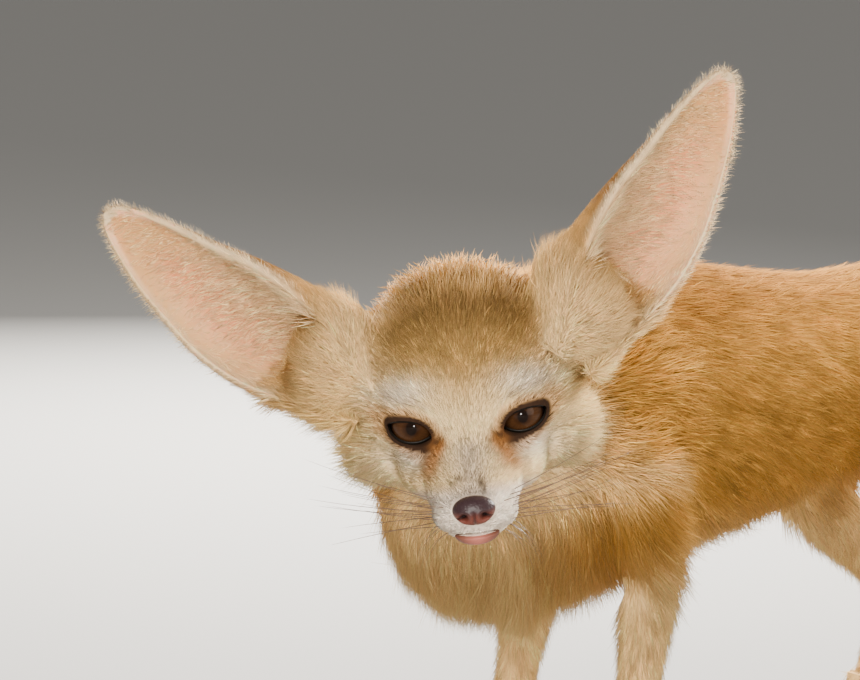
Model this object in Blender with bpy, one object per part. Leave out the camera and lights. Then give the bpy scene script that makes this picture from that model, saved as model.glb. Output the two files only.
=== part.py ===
"""Fennec fox, life size, standing with its head held low and turned to its left.

Metres, +Z up, the floor at z = 0. The body faces -Y and its left side is +X. Places on the body are
written in millimetres in the body's own frame, whose y = 0 is the middle of the back, and the whole fox
is then slid by CENTRE, so that the middle of its bounding box stands above the origin.
Places on the head are written from the point midway between the eyes: x to the fox's left, y backwards,
z upwards.
"""

import math

import bmesh
import bpy
import numpy as np
from mathutils import Matrix, Vector
from mathutils.bvhtree import BVHTree

MM = 0.001
GAP = 0.3
CENTRE = (-4.46, 17.33)
rng = np.random.default_rng(18)

# The head: where it is carried, and how it is turned, nodded and tipped
HEAD_AT = (29, -165, 159)
HEAD_TURN = 50
HEAD_NOD = 12
HEAD_TIP = -7

# The trunk from rump to nape: x, y, z, half width, height above and depth below the middle line
TRUNK = (
    (0, 114, 158, 8, 10, 10),
    (0, 108, 158, 24, 27, 30),
    (0, 90, 158, 34, 38, 42),
    (0, 58, 158, 38, 40, 45),
    (0, 20, 157, 41, 41, 51),
    (0, -25, 157, 43, 47, 62),
    (0, -62, 159, 42, 51, 72),
    (0, -92, 160, 40, 50, 80),
    (-2, -116, 161, 39, 46, 80),
    (-4, -136, 162, 36, 40, 62),
    (-2, -150, 163, 28, 31, 38),
    (0, -162, 163, 12, 14, 14),
)

# The bib that hangs from the throat to between the forelegs, in the same columns
BIB = (
    (-6, -138, 178, 10, 10, 10),
    (-8, -143, 166, 28, 24, 22),
    (-9, -142, 142, 36, 29, 32),
    (-8, -134, 116, 37, 31, 34),
    (-5, -122, 96, 30, 24, 28),
    (-3, -112, 80, 16, 12, 16),
    (-2, -110, 74, 6, 5, 6),
)

# The head from nape to muzzle tip, in the head's own frame, in the same columns
SKULL = (
    (0, 62, 6, 10, 12, 10),
    (0, 55, 7, 26, 26, 20),
    (0, 42, 7, 39, 37, 29),
    (0, 28, 5, 42, 37, 33),
    (0, 14, 0, 39, 32, 31),
    (0, 2, -5, 29.5, 21.5, 25),
    (0, -9, -11, 20.5, 15.5, 19),
    (0, -20, -16, 16.5, 12, 15),
    (0, -30, -19, 14, 9.5, 12),
    (0, -37, -20, 11, 8, 9.5),
    (0, -41.5, -20.5, 5, 4.5, 5.5),
)
CHEEK_AT, CHEEK_SIZE = (21.5, 24, -12), (26, 24, 22)
BROW_AT, BROW_SIZE = (17, 4, 8), (13, 9, 6)
WHISKER_PAD_AT, WHISKER_PAD_SIZE = (6.5, -31, -20), (8.5, 9, 7)

# Eyes and lids
EYE_RADIUS = 8.0
EYE_AT = (18.0, 4.2, 0.0)
EYE_SPLAY = 12
LID_THICKNESS = 1.3
EYE_SLANT = 20.5
EYE_OPEN_WIDE, EYE_OPEN_HIGH = 7.8, 4.5

# Nose pad, mouth line and lower lip
NOSE_AT, NOSE_SIZE = (0, -40.5, -16), (7.2, 5.2, 4.9)
NOSTRIL_AT, NOSTRIL_RADIUS = (3.3, -45, -16.6), 1.25
MOUTH_LINE = ((-60, -26.0), (-40, -26.0), (-30, -25.4), (-20, -22.6), (-12, -20.4))
JAW_BACK = ((4, -34), (4, -60), (-60, -60))
LIP_AT, LIP_SIZE = (0, -36.2, -28.2), (6.6, 3.4, 2.6)

# Ears: base and tip in the head's frame, and how far the cup is turned outwards
EARS = {
    "left": ((42, 26, 24), (101.8, 52, 96), 33),
    "right": ((-42, 26, 15), (-116, 46, 74), 25),
}
# Along the ear: share of its length, half width, depth of the cup, half angle that the wall wraps
EAR_RINGS = (
    (-0.16, 14, 17, 150),
    (0.0, 17, 22, 142),
    (0.12, 20, 23, 128),
    (0.28, 22.5, 20, 112),
    (0.45, 22, 15.5, 100),
    (0.62, 18.5, 10.5, 92),
    (0.78, 13, 6.5, 86),
    (0.90, 8, 3.4, 80),
    (0.97, 4.6, 1.8, 78),
    (1.0, 1.4, 0.7, 76),
)
EAR_WALL = 2.8
EAR_BOW = 5
EAR_RINGS_DRAWN, EAR_SIDES_DRAWN = 12, 11

# Legs from the trunk down: x, y, z, half width, room in front and behind. x is for the left side.
FORELEG = (
    (16, -92, 160, 12, 14, 14),
    (23, -92, 144, 18, 22, 22),
    (28, -85, 120, 17, 19, 20),
    (28, -79, 100, 13, 14, 15),
    (26, -80, 78, 9.8, 10, 10.5),
    (25, -83, 52, 8, 8, 8.5),
    (25, -85, 36, 8.4, 8, 8.5),
    (25, -88, 20, 8.4, 8, 8.5),
    (25, -89, 12, 7, 7, 7),
)
HINDLEG = (
    (14, 74, 170, 14, 18, 18),
    (22, 74, 151, 20, 31, 28),
    (27, 66, 130, 18, 29, 28),
    (29, 60, 108, 14, 21, 21),
    (29, 72, 91, 10.4, 13, 12.5),
    (28, 88, 76, 8.2, 9.2, 9.6),
    (27, 100, 63, 7.8, 8.5, 8),
    (27, 99, 46, 7.4, 7.6, 7.6),
    (27, 93, 24, 7.8, 7.6, 8),
    (27, 92, 12, 7, 7, 7),
)
STEP_FORWARD = {"fore": {"left": 0, "right": 20}, "hind": {"left": -8, "right": 8}}
PAW_TOP, FORELEG_TOP, HINDLEG_TOP = 22, 65, 92
PAW_PADS = {"fore": (25, -93, 11), "hind": (27, 86, 10.5)}
PAW_LENGTH = {"fore": 13, "hind": 15}
TOES = ((-7.4, 0.0, 3.9), (-2.6, -3.6, 4.2), (2.6, -3.6, 4.2), (7.4, 0.0, 3.9))
CLAW_LENGTH, CLAW_RADIUS = 6.5, 1.15
BODY_TRIANGLES, PAW_TRIANGLES = 2800, 200

# The tail from its root to its black tip: x, y, z, half width, height above and below
TAIL_START, TAIL_TIP_START = 115.3, 223.4
TAIL = (
    (0, 96, 170, 10, 10, 10),
    (0, 112, 173, 14.5, 14.5, 14.5),
    (1, 132, 162, 16, 16, 16),
    (3, 153, 136, 17, 17, 17),
    (6, 170, 103, 20, 20, 20),
    (10, 188, 70, 21, 21, 21),
    (15, 213, 50, 20, 20, 20),
    (20, 236, 46, 16, 16, 16),
    (23, 250, 49, 11, 11, 11),
    (24, 256, 50, 6, 6, 6),
)

# How far the long coat stands off the core under it
COAT_DEPTH = {"trunk": 6.0, "bib": 8.0, "tail": 8.0, "cheek": 4.0, "skull": 2.5, "leg": 2.5}

# The rows of locks on each form: which way the hair lies along it, the stretch that they cover as shares of
# its length, the angles that they cover (90 is over the form), how far apart rows and locks are, and each
# lock's length, width, thickness and how far its tip stands off
COAT = {
    "trunk": (-1, (0.04, 0.90), (-180, 180), 33, 29, 53, 25, 2.8, 7.0),
    "nape": (-1, (0.72, 0.93), (25, 155), 26, 24, 42, 20, 2.8, 8.0),
    "bib": (1, (0.16, 0.93), (-180, 180), 22, 20, 38, 18, 2.8, 8.0),
    "tail": (1, (0.15, 0.97), (-180, 180), 24, 23, 40, 18, 2.8, 10),
    "crown": (-1, (0.17, 0.30), (45, 135), 13, 15, 20, 12.5, 2.4, 4.5),
    "left cheek": (-1, (0.25, 0.50), (-90, 25), 11.5, 11.5, 25, 11.5, 2.4, 6.5),
    "right cheek": (-1, (0.25, 0.50), (155, 270), 11.5, 11.5, 27, 11.5, 2.6, 11),
    "shoulder": (1, (0.20, 0.48), (-180, 180), 26, 23, 40, 20, 2.8, 5.0),
    "thigh": (1, (0.12, 0.42), (-180, 180), 29, 25, 44, 21, 2.8, 5.5),
}
# Each lock: how deep its root is set, its rings, how high and wide it is at each, how far it bends, and how
# far from the core it stops following it
LOCK_ROOT = 3.0
LOCK_RINGS = 3
LOCK_HEIGHTS = (0, 0.3, 0.7, 1)
LOCK_WIDTHS = (0.5, 1, 0.75, 0)
SWAY = 0.15
LOOSE_FROM = 4.0
# The coat of the trunk lies back and a little down
TRUNK_DROP = Vector((0, 0, -0.45))

COLOURS = {
    "coat": (0.72, 0.53, 0.33, 0.75),
    "pale coat": (0.85, 0.74, 0.60, 0.75),
    "tail tip": (0.10, 0.07, 0.05, 0.8),
    "nose": (0.09, 0.03, 0.025, 0.35),
    "eye": (0.05, 0.02, 0.01, 0.08),
}


def material(name):
    """The named coat or skin finish, made once."""
    found = bpy.data.materials.get(name)
    if found:
        return found
    made = bpy.data.materials.new(name)
    made.use_nodes = True
    shader = made.node_tree.nodes["Principled BSDF"]
    *colour, roughness = COLOURS[name]
    shader.inputs["Base Color"].default_value = (*colour, 1)
    shader.inputs["Roughness"].default_value = roughness
    return made


def solid(name, points, faces):
    """A mesh object from points in millimetres, with its faces turned outwards."""
    mesh = bpy.data.meshes.new(name)
    mesh.from_pydata((np.asarray(points, float) * MM).tolist(), [], faces)
    shape = bmesh.new()
    shape.from_mesh(mesh)
    bmesh.ops.recalc_face_normals(shape, faces=shape.faces)
    shape.to_mesh(mesh)
    shape.free()
    made = bpy.data.objects.new(name, mesh)
    bpy.context.scene.collection.objects.link(made)
    return made


def curve_through(rows, count):
    """Catmull-Rom curve through the rows, read at evenly spaced places."""
    rows = np.asarray(rows, float)
    padded = np.vstack([2 * rows[0] - rows[1], rows, 2 * rows[-1] - rows[-2]])
    place = np.linspace(0, len(rows) - 1, count)
    first = np.minimum(place.astype(int), len(rows) - 2)
    t = (place - first)[:, None]
    a, b, c, d = (padded[first + k] for k in range(4))
    curve = 2 * b + (c - a) * t + (2 * a - 5 * b + 4 * c - d) * t**2
    return 0.5 * (curve + (3 * b - a - 3 * c + d) * t**3)


def unit(vectors):
    """The same directions, one long."""
    return vectors / np.linalg.norm(vectors, axis=-1, keepdims=True)


def frames(rows, rings):
    """The sizes, middle, way along, way across and way over at even places of a path."""
    row = curve_through(rows, rings)
    along = unit(np.gradient(row[:, :3], axis=0))
    side = np.array([1.0, 0, 0])
    across = unit(side - (along @ side)[:, None] * along)
    return row[:, 3:], row[:, :3], along, across, np.cross(along, across)


def loft(name, rows, rings, sides):
    """A closed skin carried along a path, with an egg-shaped section: x, y, z, half width, above, below."""
    sizes, centre, along, across, over = frames(rows, rings)
    angle = np.linspace(0, 2 * math.pi, sides, endpoint=False)
    wide = sizes[:, :1] * np.cos(angle)
    high = np.where(np.sin(angle) > 0, sizes[:, 1:2], sizes[:, 2:3]) * np.sin(angle)
    points = centre[:, None] + wide[..., None] * across[:, None] + high[..., None] * over[:, None]
    ring = np.arange(sides)
    after = (ring + 1) % sides
    faces = []
    for start in range(0, (rings - 1) * sides, sides):
        quad = (ring, after, after + sides, ring + sides)
        faces += (start + np.stack(quad, 1)).tolist()
    first, last = rings * sides, rings * sides + 1
    end = (rings - 1) * sides
    faces += [[first, b, a] for a, b in zip(ring.tolist(), after.tolist())]
    faces += [[last, end + a, end + b] for a, b in zip(ring.tolist(), after.tolist())]
    return solid(name, np.vstack([points.reshape(-1, 3), centre[0], centre[-1]]), faces)


def egg(name, at, size, fineness=3):
    """An ellipsoid with the given half sizes, in millimetres."""
    mesh = bpy.data.meshes.new(name)
    shape = bmesh.new()
    bmesh.ops.create_icosphere(shape, subdivisions=fineness, radius=1)
    place = Matrix.Translation(Vector(at) * MM) @ Matrix.Diagonal((*(Vector(size) * MM), 1))
    bmesh.ops.transform(shape, matrix=place, verts=shape.verts)
    shape.to_mesh(mesh)
    shape.free()
    made = bpy.data.objects.new(name, mesh)
    bpy.context.scene.collection.objects.link(made)
    return made


def prism(name, outline, axis, low, high):
    """A closed plate: a flat outline, in the two directions other than axis, carried from low to high."""
    count = len(outline)
    flat = np.asarray(outline, float)
    points = np.vstack([np.insert(flat, axis, low, axis=1), np.insert(flat, axis, high, axis=1)])
    faces = [list(range(count)), list(range(count, 2 * count))[::-1]]
    faces += [[k, (k + 1) % count, count + (k + 1) % count, count + k] for k in range(count)]
    return solid(name, points, faces)


def block(name, low, high):
    """A box between two corners, in millimetres."""
    plan = [(low[0], low[1]), (high[0], low[1]), (high[0], high[1]), (low[0], high[1])]
    return prism(name, plan, 2, low[2], high[2])


def head_matrix():
    """From the head's own frame to the body's."""
    turn = Matrix.Rotation(math.radians(HEAD_TURN), 4, "Z")
    nod = Matrix.Rotation(math.radians(HEAD_NOD), 4, "X")
    tip = Matrix.Rotation(math.radians(HEAD_TIP), 4, "Y")
    return Matrix.Translation(Vector(HEAD_AT) * MM) @ turn @ nod @ tip


FROM_HEAD = Matrix.Diagonal((1000, 1000, 1000, 1)) @ head_matrix() @ Matrix.Diagonal((MM, MM, MM, 1))
TO_HEAD = FROM_HEAD.inverted()


def on_head(made):
    """Moves what was built in the head's frame to its place on the body."""
    made.data.transform(head_matrix())
    return made


def copy_of(made, name="copy"):
    """Another object with the same shape."""
    twin = made.copy()
    twin.data = made.data.copy()
    twin.name = name
    bpy.context.scene.collection.objects.link(twin)
    return twin


def apply_modifiers(made):
    """Turns what the modifiers make into the object's own mesh."""
    bpy.context.view_layer.update()
    graph = bpy.context.evaluated_depsgraph_get()
    mesh = bpy.data.meshes.new_from_object(made.evaluated_get(graph))
    made.modifiers.clear()
    made.data = mesh
    return made


def discard(*made):
    """Removes tools and helpers."""
    for each in made:
        bpy.data.objects.remove(each)


def cut(made, tool, operation="DIFFERENCE", solver="MANIFOLD", keep_tool=False):
    """Cuts, joins or intersects one closed mesh with another. EXACT leaves open edges on these blended
    skins, so MANIFOLD does it."""
    modifier = made.modifiers.new("cut", "BOOLEAN")
    modifier.operation = operation
    modifier.solver = solver
    modifier.object = tool
    apply_modifiers(made)
    if not keep_tool:
        discard(tool)
    return made


def grown(made, by):
    """A copy whose skin stands out by a little, for cutting a neighbour clear of it."""
    twin = copy_of(made)
    mesh = twin.data
    mesh.update()
    points = np.empty(len(mesh.vertices) * 3, np.float32)
    normals = np.empty(len(mesh.vertices) * 3, np.float32)
    mesh.vertices.foreach_get("co", points)
    mesh.vertex_normals.foreach_get("vector", normals)
    mesh.vertices.foreach_set("co", points + normals * by * MM)
    mesh.update()
    return twin


def largest_surface(made):
    """Keeps only the biggest closed surface of a mesh, as parted by its shared edges."""
    shape = bmesh.new()
    shape.from_mesh(made.data)
    left = set(shape.faces)
    best = []
    while left:
        group, front = [], [left.pop()]
        while front:
            face = front.pop()
            group.append(face)
            near = {other for edge in face.edges if len(edge.link_faces) == 2 for other in edge.link_faces}
            front += near & left
            left -= near
        if len(group) > len(best):
            best = group
    keep = set(best)
    bmesh.ops.delete(shape, geom=[face for face in shape.faces if face not in keep], context="FACES")
    shape.to_mesh(made.data)
    shape.free()
    return made


def joined(name, pieces):
    """Many meshes as one, each still its own closed surface."""
    shape = bmesh.new()
    for piece in pieces:
        shape.from_mesh(piece.data)
    mesh = bpy.data.meshes.new(name)
    shape.to_mesh(mesh)
    shape.free()
    discard(*pieces)
    made = bpy.data.objects.new(name, mesh)
    bpy.context.scene.collection.objects.link(made)
    return made


def under_long_coat(at):
    """1 where long locks will cover the core, which can then be coarse, and near 0 on the head and legs."""
    local = TO_HEAD @ at
    if local.y < 20 and local.z > -40 and abs(local.x) < 50:
        return 0.15
    return 1.0 if at.z > 92 or at.y > 130 else 0.3


def flesh(name, pieces, voxel, relax, triangles, coarse=None):
    """Blends overlapping forms into one smooth closed skin with about so many triangles."""
    made = joined(name, pieces)
    remesh = made.modifiers.new("blend", "REMESH")
    remesh.mode = "VOXEL"
    remesh.voxel_size = voxel * MM
    smooth = made.modifiers.new("relax", "SMOOTH")
    smooth.factor = 0.5
    smooth.iterations = relax
    apply_modifiers(made)
    thin = made.modifiers.new("thin", "DECIMATE")
    thin.ratio = min(1.0, triangles / (2 * len(made.data.polygons)))
    if coarse:
        group = made.vertex_groups.new(name="under the coat")
        for vertex in made.data.vertices:
            group.add([vertex.index], coarse(vertex.co / MM), "REPLACE")
        thin.vertex_group = group.name
        thin.vertex_group_factor = 1
    return apply_modifiers(made)


def both_sides(at):
    """A place and its mirror image."""
    return [(x * at[0], at[1], at[2]) for x in (1, -1)]


def stepped(rows, way, side):
    """A leg's rows for one side, its foot set forward of the other's and its top left where it is."""
    sign = 1 if side == "left" else -1
    forward = STEP_FORWARD[way][side]
    top = rows[0][2]
    return [(sign * x, y - forward * (1 - z / top), z, *rest) for x, y, z, *rest in rows]


def pared(rows, by, axis=2, start=-999):
    """The rows of the core under a coat: every radius less by its depth or by half, from a place onwards."""
    return [(*row[:3], *(r - min(by, r / 2) * (row[axis] >= start) for r in row[3:])) for row in rows]


def make_body():
    """Trunk, neck, legs and tail, out to the core under the long coat or to the short coat's surface."""
    pieces = [
        loft("trunk", pared(TRUNK, COAT_DEPTH["trunk"]), 40, 28),
        loft("bib", pared(BIB, COAT_DEPTH["bib"]), 24, 24),
        loft("tail", pared(TAIL, COAT_DEPTH["tail"], 1, 112), 34, 18),
    ]
    for side in ("left", "right"):
        fore = pared(stepped(FORELEG, "fore", side), COAT_DEPTH["leg"], 2, 95)
        hind = pared(stepped(HINDLEG, "hind", side), COAT_DEPTH["leg"], 2, 95)
        pieces += [loft("foreleg", fore, 26, 16), loft("hindleg", hind, 30, 16)]
    return pieces


def make_head():
    """Skull, muzzle, cheeks, brows and whisker pads, in place on the neck."""
    pieces = [loft("skull", pared(SKULL, COAT_DEPTH["skull"], 1, 14), 34, 28)]
    cheek = [size - COAT_DEPTH["cheek"] for size in CHEEK_SIZE]
    for at, size in ((CHEEK_AT, cheek), (BROW_AT, BROW_SIZE), (WHISKER_PAD_AT, WHISKER_PAD_SIZE)):
        pieces += [egg("form", place, size) for place in both_sides(at)]
    return [on_head(piece) for piece in pieces]


def lock_places(rows, span, angles, apart, aside):
    """Evenly set places round a form: its middle, the way out and the way along, each row half a step on."""
    sizes, centre, along, across, over = frames(rows, 200)
    travelled = np.concatenate([[0], np.cumsum(np.linalg.norm(np.diff(centre, axis=0), axis=1))])
    first, last = (share * travelled[-1] for share in span)
    low, high = np.radians(angles)
    for number, distance in enumerate(np.arange(first, last, apart)):
        at = int(np.searchsorted(travelled, distance))
        half, above, below = sizes[at]
        count = max(3, round((high - low) * (half + (above + below) / 2) / 2 / aside))
        for k in range(count):
            angle = low + (high - low) * (k + 0.25 + 0.5 * (number % 2)) / count
            tall = above if math.sin(angle) > 0 else below
            out = half * math.cos(angle) * across[at] + tall * math.sin(angle) * over[at]
            yield centre[at], out, along[at]


def make_lock(tree, root, lie, length, width, thick, stand):
    """One lock: a flat three-sided blade that leaves the core, bends along the lie and tapers to a point.
    Past the end of the core it runs on straight. There is none where the lie runs into the skin or the
    skin folds sharply.
    """
    length *= rng.uniform(0.85, 1.12)
    width *= rng.uniform(0.88, 1.1)
    stand *= rng.uniform(0.8, 1.15)
    bend = rng.uniform(-SWAY, SWAY)
    at = Vector(root)
    out = tree.find_nearest(at)[1]
    points = []
    for ring in range(LOCK_RINGS + 1):
        skin, normal, _, far = tree.find_nearest(at)
        if out.dot(normal) < 0:
            return None
        if far < LOOSE_FROM:
            at = skin
            out = (out + normal).normalized()
        way = lie - out * lie.dot(out)
        if way.length < 0.45 * lie.length:
            return None
        way.normalize()
        way.rotate(Matrix.Rotation(bend * (ring / LOCK_RINGS - 0.2), 3, out))
        side = out.cross(way)
        middle = at + out * (stand * LOCK_HEIGHTS[ring] if ring else -LOCK_ROOT)
        half = width / 2 * LOCK_WIDTHS[ring]
        deep = thick / 2 * LOCK_WIDTHS[ring] ** 0.5
        if ring < LOCK_RINGS:
            under = middle - out * deep
            points += [under - side * half, under + side * half, middle + out * deep]
        else:
            points.append(middle)
        at = at + way * length / LOCK_RINGS
    faces = [[0, 1, 2]]
    for start in range(0, 3 * (LOCK_RINGS - 1), 3):
        for k in range(3):
            a, b = start + k, start + (k + 1) % 3
            faces += [[a, b, b + 3], [a, b + 3, a + 3]]
    last = 3 * LOCK_RINGS
    faces += [[last - 3 + k, last - 3 + (k + 1) % 3, last] for k in range(3)]
    return solid("lock", [tuple(point) for point in points], faces)


def coated_forms():
    """Each coated form's rows, how much further out the skin may lie than they say, and its locks' name."""
    yield TRUNK, 4, "trunk"
    yield TRUNK, 4, "nape"
    yield BIB, 4, "bib"
    yield TAIL, 4, "tail"
    for name in ("crown", "left cheek", "right cheek"):
        yield SKULL, 14, name
    for side in ("left", "right"):
        yield stepped(FORELEG, "fore", side), 4, "shoulder"
        yield stepped(HINDLEG, "hind", side), 4, "thigh"


def make_locks(core):
    """Every lock of the long coat, rooted in the core."""
    mesh = core.data
    tree = BVHTree.FromPolygons([v.co / MM for v in mesh.vertices], [p.vertices[:] for p in mesh.polygons])
    for rows, slack, name in coated_forms():
        sign, span, angles, apart, aside, *sizes = COAT[name]
        on_skull = rows is SKULL
        for middle, out, along in lock_places(rows, span, angles, apart, aside):
            middle, out, along = Vector(middle), Vector(out), Vector(along)
            reach = out.length + slack
            if on_skull:
                middle = FROM_HEAD @ middle
                out.rotate(FROM_HEAD)
                along.rotate(FROM_HEAD)
            way = out.normalized()
            hit, _, _, _ = tree.ray_cast(middle + way * 150, -way, 150)
            if hit is None or (hit - middle).length > reach or not grows_hair(hit, on_skull):
                continue
            lie = sign * along + (TRUNK_DROP if name == "trunk" else Vector())
            lock = make_lock(tree, hit, lie, *sizes)
            if lock:
                yield lock


def grows_hair(at, on_skull):
    """False where an ear stands or the face or a lower leg shows."""
    local = TO_HEAD @ at
    if any(math.dist(local, EARS[side][0]) < 20 for side in EARS):
        return False
    if on_skull:
        return local.y > 12
    return local.y > 46 or local.z < -36 or abs(local.x) > 56


def grow_locks(core):
    """Fuses the locks with the core, all in one union, and removes the loose ones."""
    locks = bpy.data.collections.new("locks")
    for lock in list(make_locks(core)):
        bpy.context.scene.collection.objects.unlink(lock)
        locks.objects.link(lock)
    bpy.context.scene.collection.children.link(locks)
    fuse = core.modifiers.new("fuse", "BOOLEAN")
    fuse.operation = "UNION"
    fuse.solver = "MANIFOLD"
    fuse.operand_type = "COLLECTION"
    fuse.collection = locks
    apply_modifiers(core)
    discard(*locks.objects)
    bpy.data.collections.remove(locks)
    return largest_surface(core)


def head_room(margin=0.0):
    """The room that the head node takes from the whole skin, seen from above."""
    back, corner, slant = 52 + margin, 24 + margin, 0.4 * margin
    outline = ((-80, -70), (70, -70), (70, corner), (62 + slant, corner), (34 + slant, back), (-80, back))
    return on_head(prism("head room", outline, 2, -34 - margin, 80))


def neck_room(margin=0.0):
    """From the head back to a line that slopes from the withers down to the throat."""
    m = margin
    outline = ((-64 + m, 230), (-118 + m, 128 - m), (-230, 100 - m), (-230, 230))
    return prism("neck room", outline, 0, -90, 90)


def leg_rooms(side):
    """The room of each leg between the body and the paw: its name, low corner and high corner."""
    near, far = (3, 60) if side == "left" else (-60, -3)
    yield f"foreleg_{side}", (near, -140, PAW_TOP), (far, -52, FORELEG_TOP)
    yield f"hindleg_{side}", (near, 26, PAW_TOP), (far, 135, HINDLEG_TOP)


def piece_of(whole, name, room, wider_room):
    """Takes what lies in a room out of the whole, and leaves a thin gap behind it."""
    taken = cut(copy_of(whole, name), room, "INTERSECT")
    cut(whole, wider_room)
    taken.name = name
    return largest_surface(taken)


def part_whole(whole):
    """Parts the whole skin into its nodes with thin cuts."""
    nodes = {
        "head": piece_of(whole, "head", head_room(), head_room(GAP)),
        "neck": piece_of(whole, "neck", neck_room(), neck_room(GAP)),
    }
    cut(whole, block("feet room", (-90, -200, -10), (90, 200, PAW_TOP)))
    for side in ("left", "right"):
        for name, low, high in leg_rooms(side):
            wider = [c - GAP for c in low], [c + GAP for c in high]
            nodes[name] = piece_of(whole, name, block("room", low, high), block("room", *wider))
    for name, start in (("tail_tip", TAIL_TIP_START), ("tail", TAIL_START)):
        rooms = [block("room", (-90, start - gap, -10), (90, 400, 260)) for gap in (0, GAP)]
        nodes[name] = piece_of(whole, name, *rooms)
    whole.name = "torso"
    nodes["torso"] = largest_surface(whole)
    return nodes


def gaze(side):
    """The eye's place, its line of sight, and the directions from inner to outer corner and upwards."""
    sign = 1 if side == "left" else -1
    centre = np.array([sign * EYE_AT[0], EYE_AT[1], EYE_AT[2]])
    splay, slant = math.radians(EYE_SPLAY), math.radians(EYE_SLANT)
    sight = np.array([sign * math.sin(splay), -math.cos(splay), 0])
    level = np.array([sign * math.cos(splay), math.sin(splay), 0])
    outer = level * math.cos(slant) + np.array([0, 0, math.sin(slant)])
    rise = np.array([0, 0, math.cos(slant)]) - level * math.sin(slant)
    return centre, sight, outer, rise


def almond(side, near, far, width=EYE_OPEN_WIDE, height=EYE_OPEN_HIGH):
    """A prism with the pointed oval of the open lids, along the line of sight."""
    centre, sight, outer, rise = gaze(side)
    turn = np.linspace(0, 2 * math.pi, 20, endpoint=False)
    across = width * np.cos(turn)
    up = height * np.sign(np.sin(turn)) * np.abs(np.sin(turn)) ** 1.25
    rim = across[:, None] * outer + up[:, None] * rise
    points = np.vstack([centre + rim + sight * near, centre + rim + sight * far])
    count = len(turn)
    faces = [list(range(count)), list(range(count, 2 * count))[::-1]]
    faces += [[k, (k + 1) % count, count + (k + 1) % count, count + k] for k in range(count)]
    return on_head(solid("lid opening", points, faces))


def open_eyes(head):
    """Lids as a shell over each eyeball, with the socket behind them and the slit between them."""
    eyes = {}
    for side in ("left", "right"):
        centre = gaze(side)[0]
        shell = EYE_RADIUS + GAP + LID_THICKNESS
        cut(head, on_head(egg("lids", centre, (shell,) * 3)), "UNION")
        cut(head, on_head(egg("socket", centre, (EYE_RADIUS + GAP,) * 3, 3)))
        cut(head, almond(side, 1.5, 16))
        eyes[f"eye_{side}"] = on_head(egg(f"eye_{side}", centre, (EYE_RADIUS,) * 3, 3))
    return eyes


def jaw_room(shift=0.0):
    """Below the mouth line and in front of the throat, as seen from the side."""
    line = [(y + shift, z + shift) for y, z in MOUTH_LINE]
    back = [(y + shift, z) for y, z in JAW_BACK[:-1]] + [JAW_BACK[-1]]
    return on_head(prism("jaw room", line + back, 0, -45, 45))


def make_mouth(head):
    """The lower jaw, parted from the head along the mouth line, with its lip."""
    jaw = cut(copy_of(head, "lower_jaw"), jaw_room(), "INTERSECT")
    jaw.name = "lower_jaw"
    cut(head, jaw_room(GAP + 0.1))
    largest_surface(head)
    largest_surface(jaw)
    lip = on_head(egg("lip", LIP_AT, LIP_SIZE, 2))
    cut(lip, on_head(block("over", (-20, -60, MOUTH_LINE[1][1] + 0.02), (20, -10, 0))))
    cut(jaw, lip, "UNION")
    return jaw


def make_nose(head):
    """The bare nose pad with its two nostrils and the groove between them, let into the muzzle."""
    nose = egg("nose", NOSE_AT, NOSE_SIZE, 3)
    for sign in (1, -1):
        x, y, z = NOSTRIL_AT
        rows = (
            (sign * x, y + 4.5, z, 0.9, 0.9, 0.9),
            (sign * x, y + 1, z, NOSTRIL_RADIUS, NOSTRIL_RADIUS, NOSTRIL_RADIUS),
            (sign * (x + 0.8), y - 3, z - 0.2, 1.5, 1.3, 1.3),
        )
        cut(nose, loft("nostril", rows, 4, 7))
        cut(nose, egg("slit", (sign * (x + 2.1), y - 0.4, z - 0.4), (2.9, 2.4, 0.5), 1))
    cut(nose, prism("groove", ((-0.35, -52), (0.35, -52), (0.12, -44.7), (-0.12, -44.7)), 2, -30, -16.5))
    on_head(nose)
    room = on_head(egg("nose room", NOSE_AT, [s + GAP for s in NOSE_SIZE], 3))
    cut(head, room)
    return largest_surface(nose)


def ear_frame(side):
    """The ear's base, its axis, the way its cup opens and the way to its outer edge, and its length."""
    base, tip, turn = EARS[side]
    base, tip = np.array(base, float), np.array(tip, float)
    sign = 1 if side == "left" else -1
    axis = unit(tip - base)
    nod = math.radians(HEAD_NOD + 8)
    viewer = np.array([0, -math.cos(nod), math.sin(nod)])
    front = unit(viewer - (viewer @ axis) * axis)
    outer = sign * np.cross(axis, front)
    turn = math.radians(turn)
    opening = front * math.cos(turn) + outer * math.sin(turn)
    outward = outer * math.cos(turn) - front * math.sin(turn)
    return base, axis, opening, outward, np.linalg.norm(tip - base)


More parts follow.
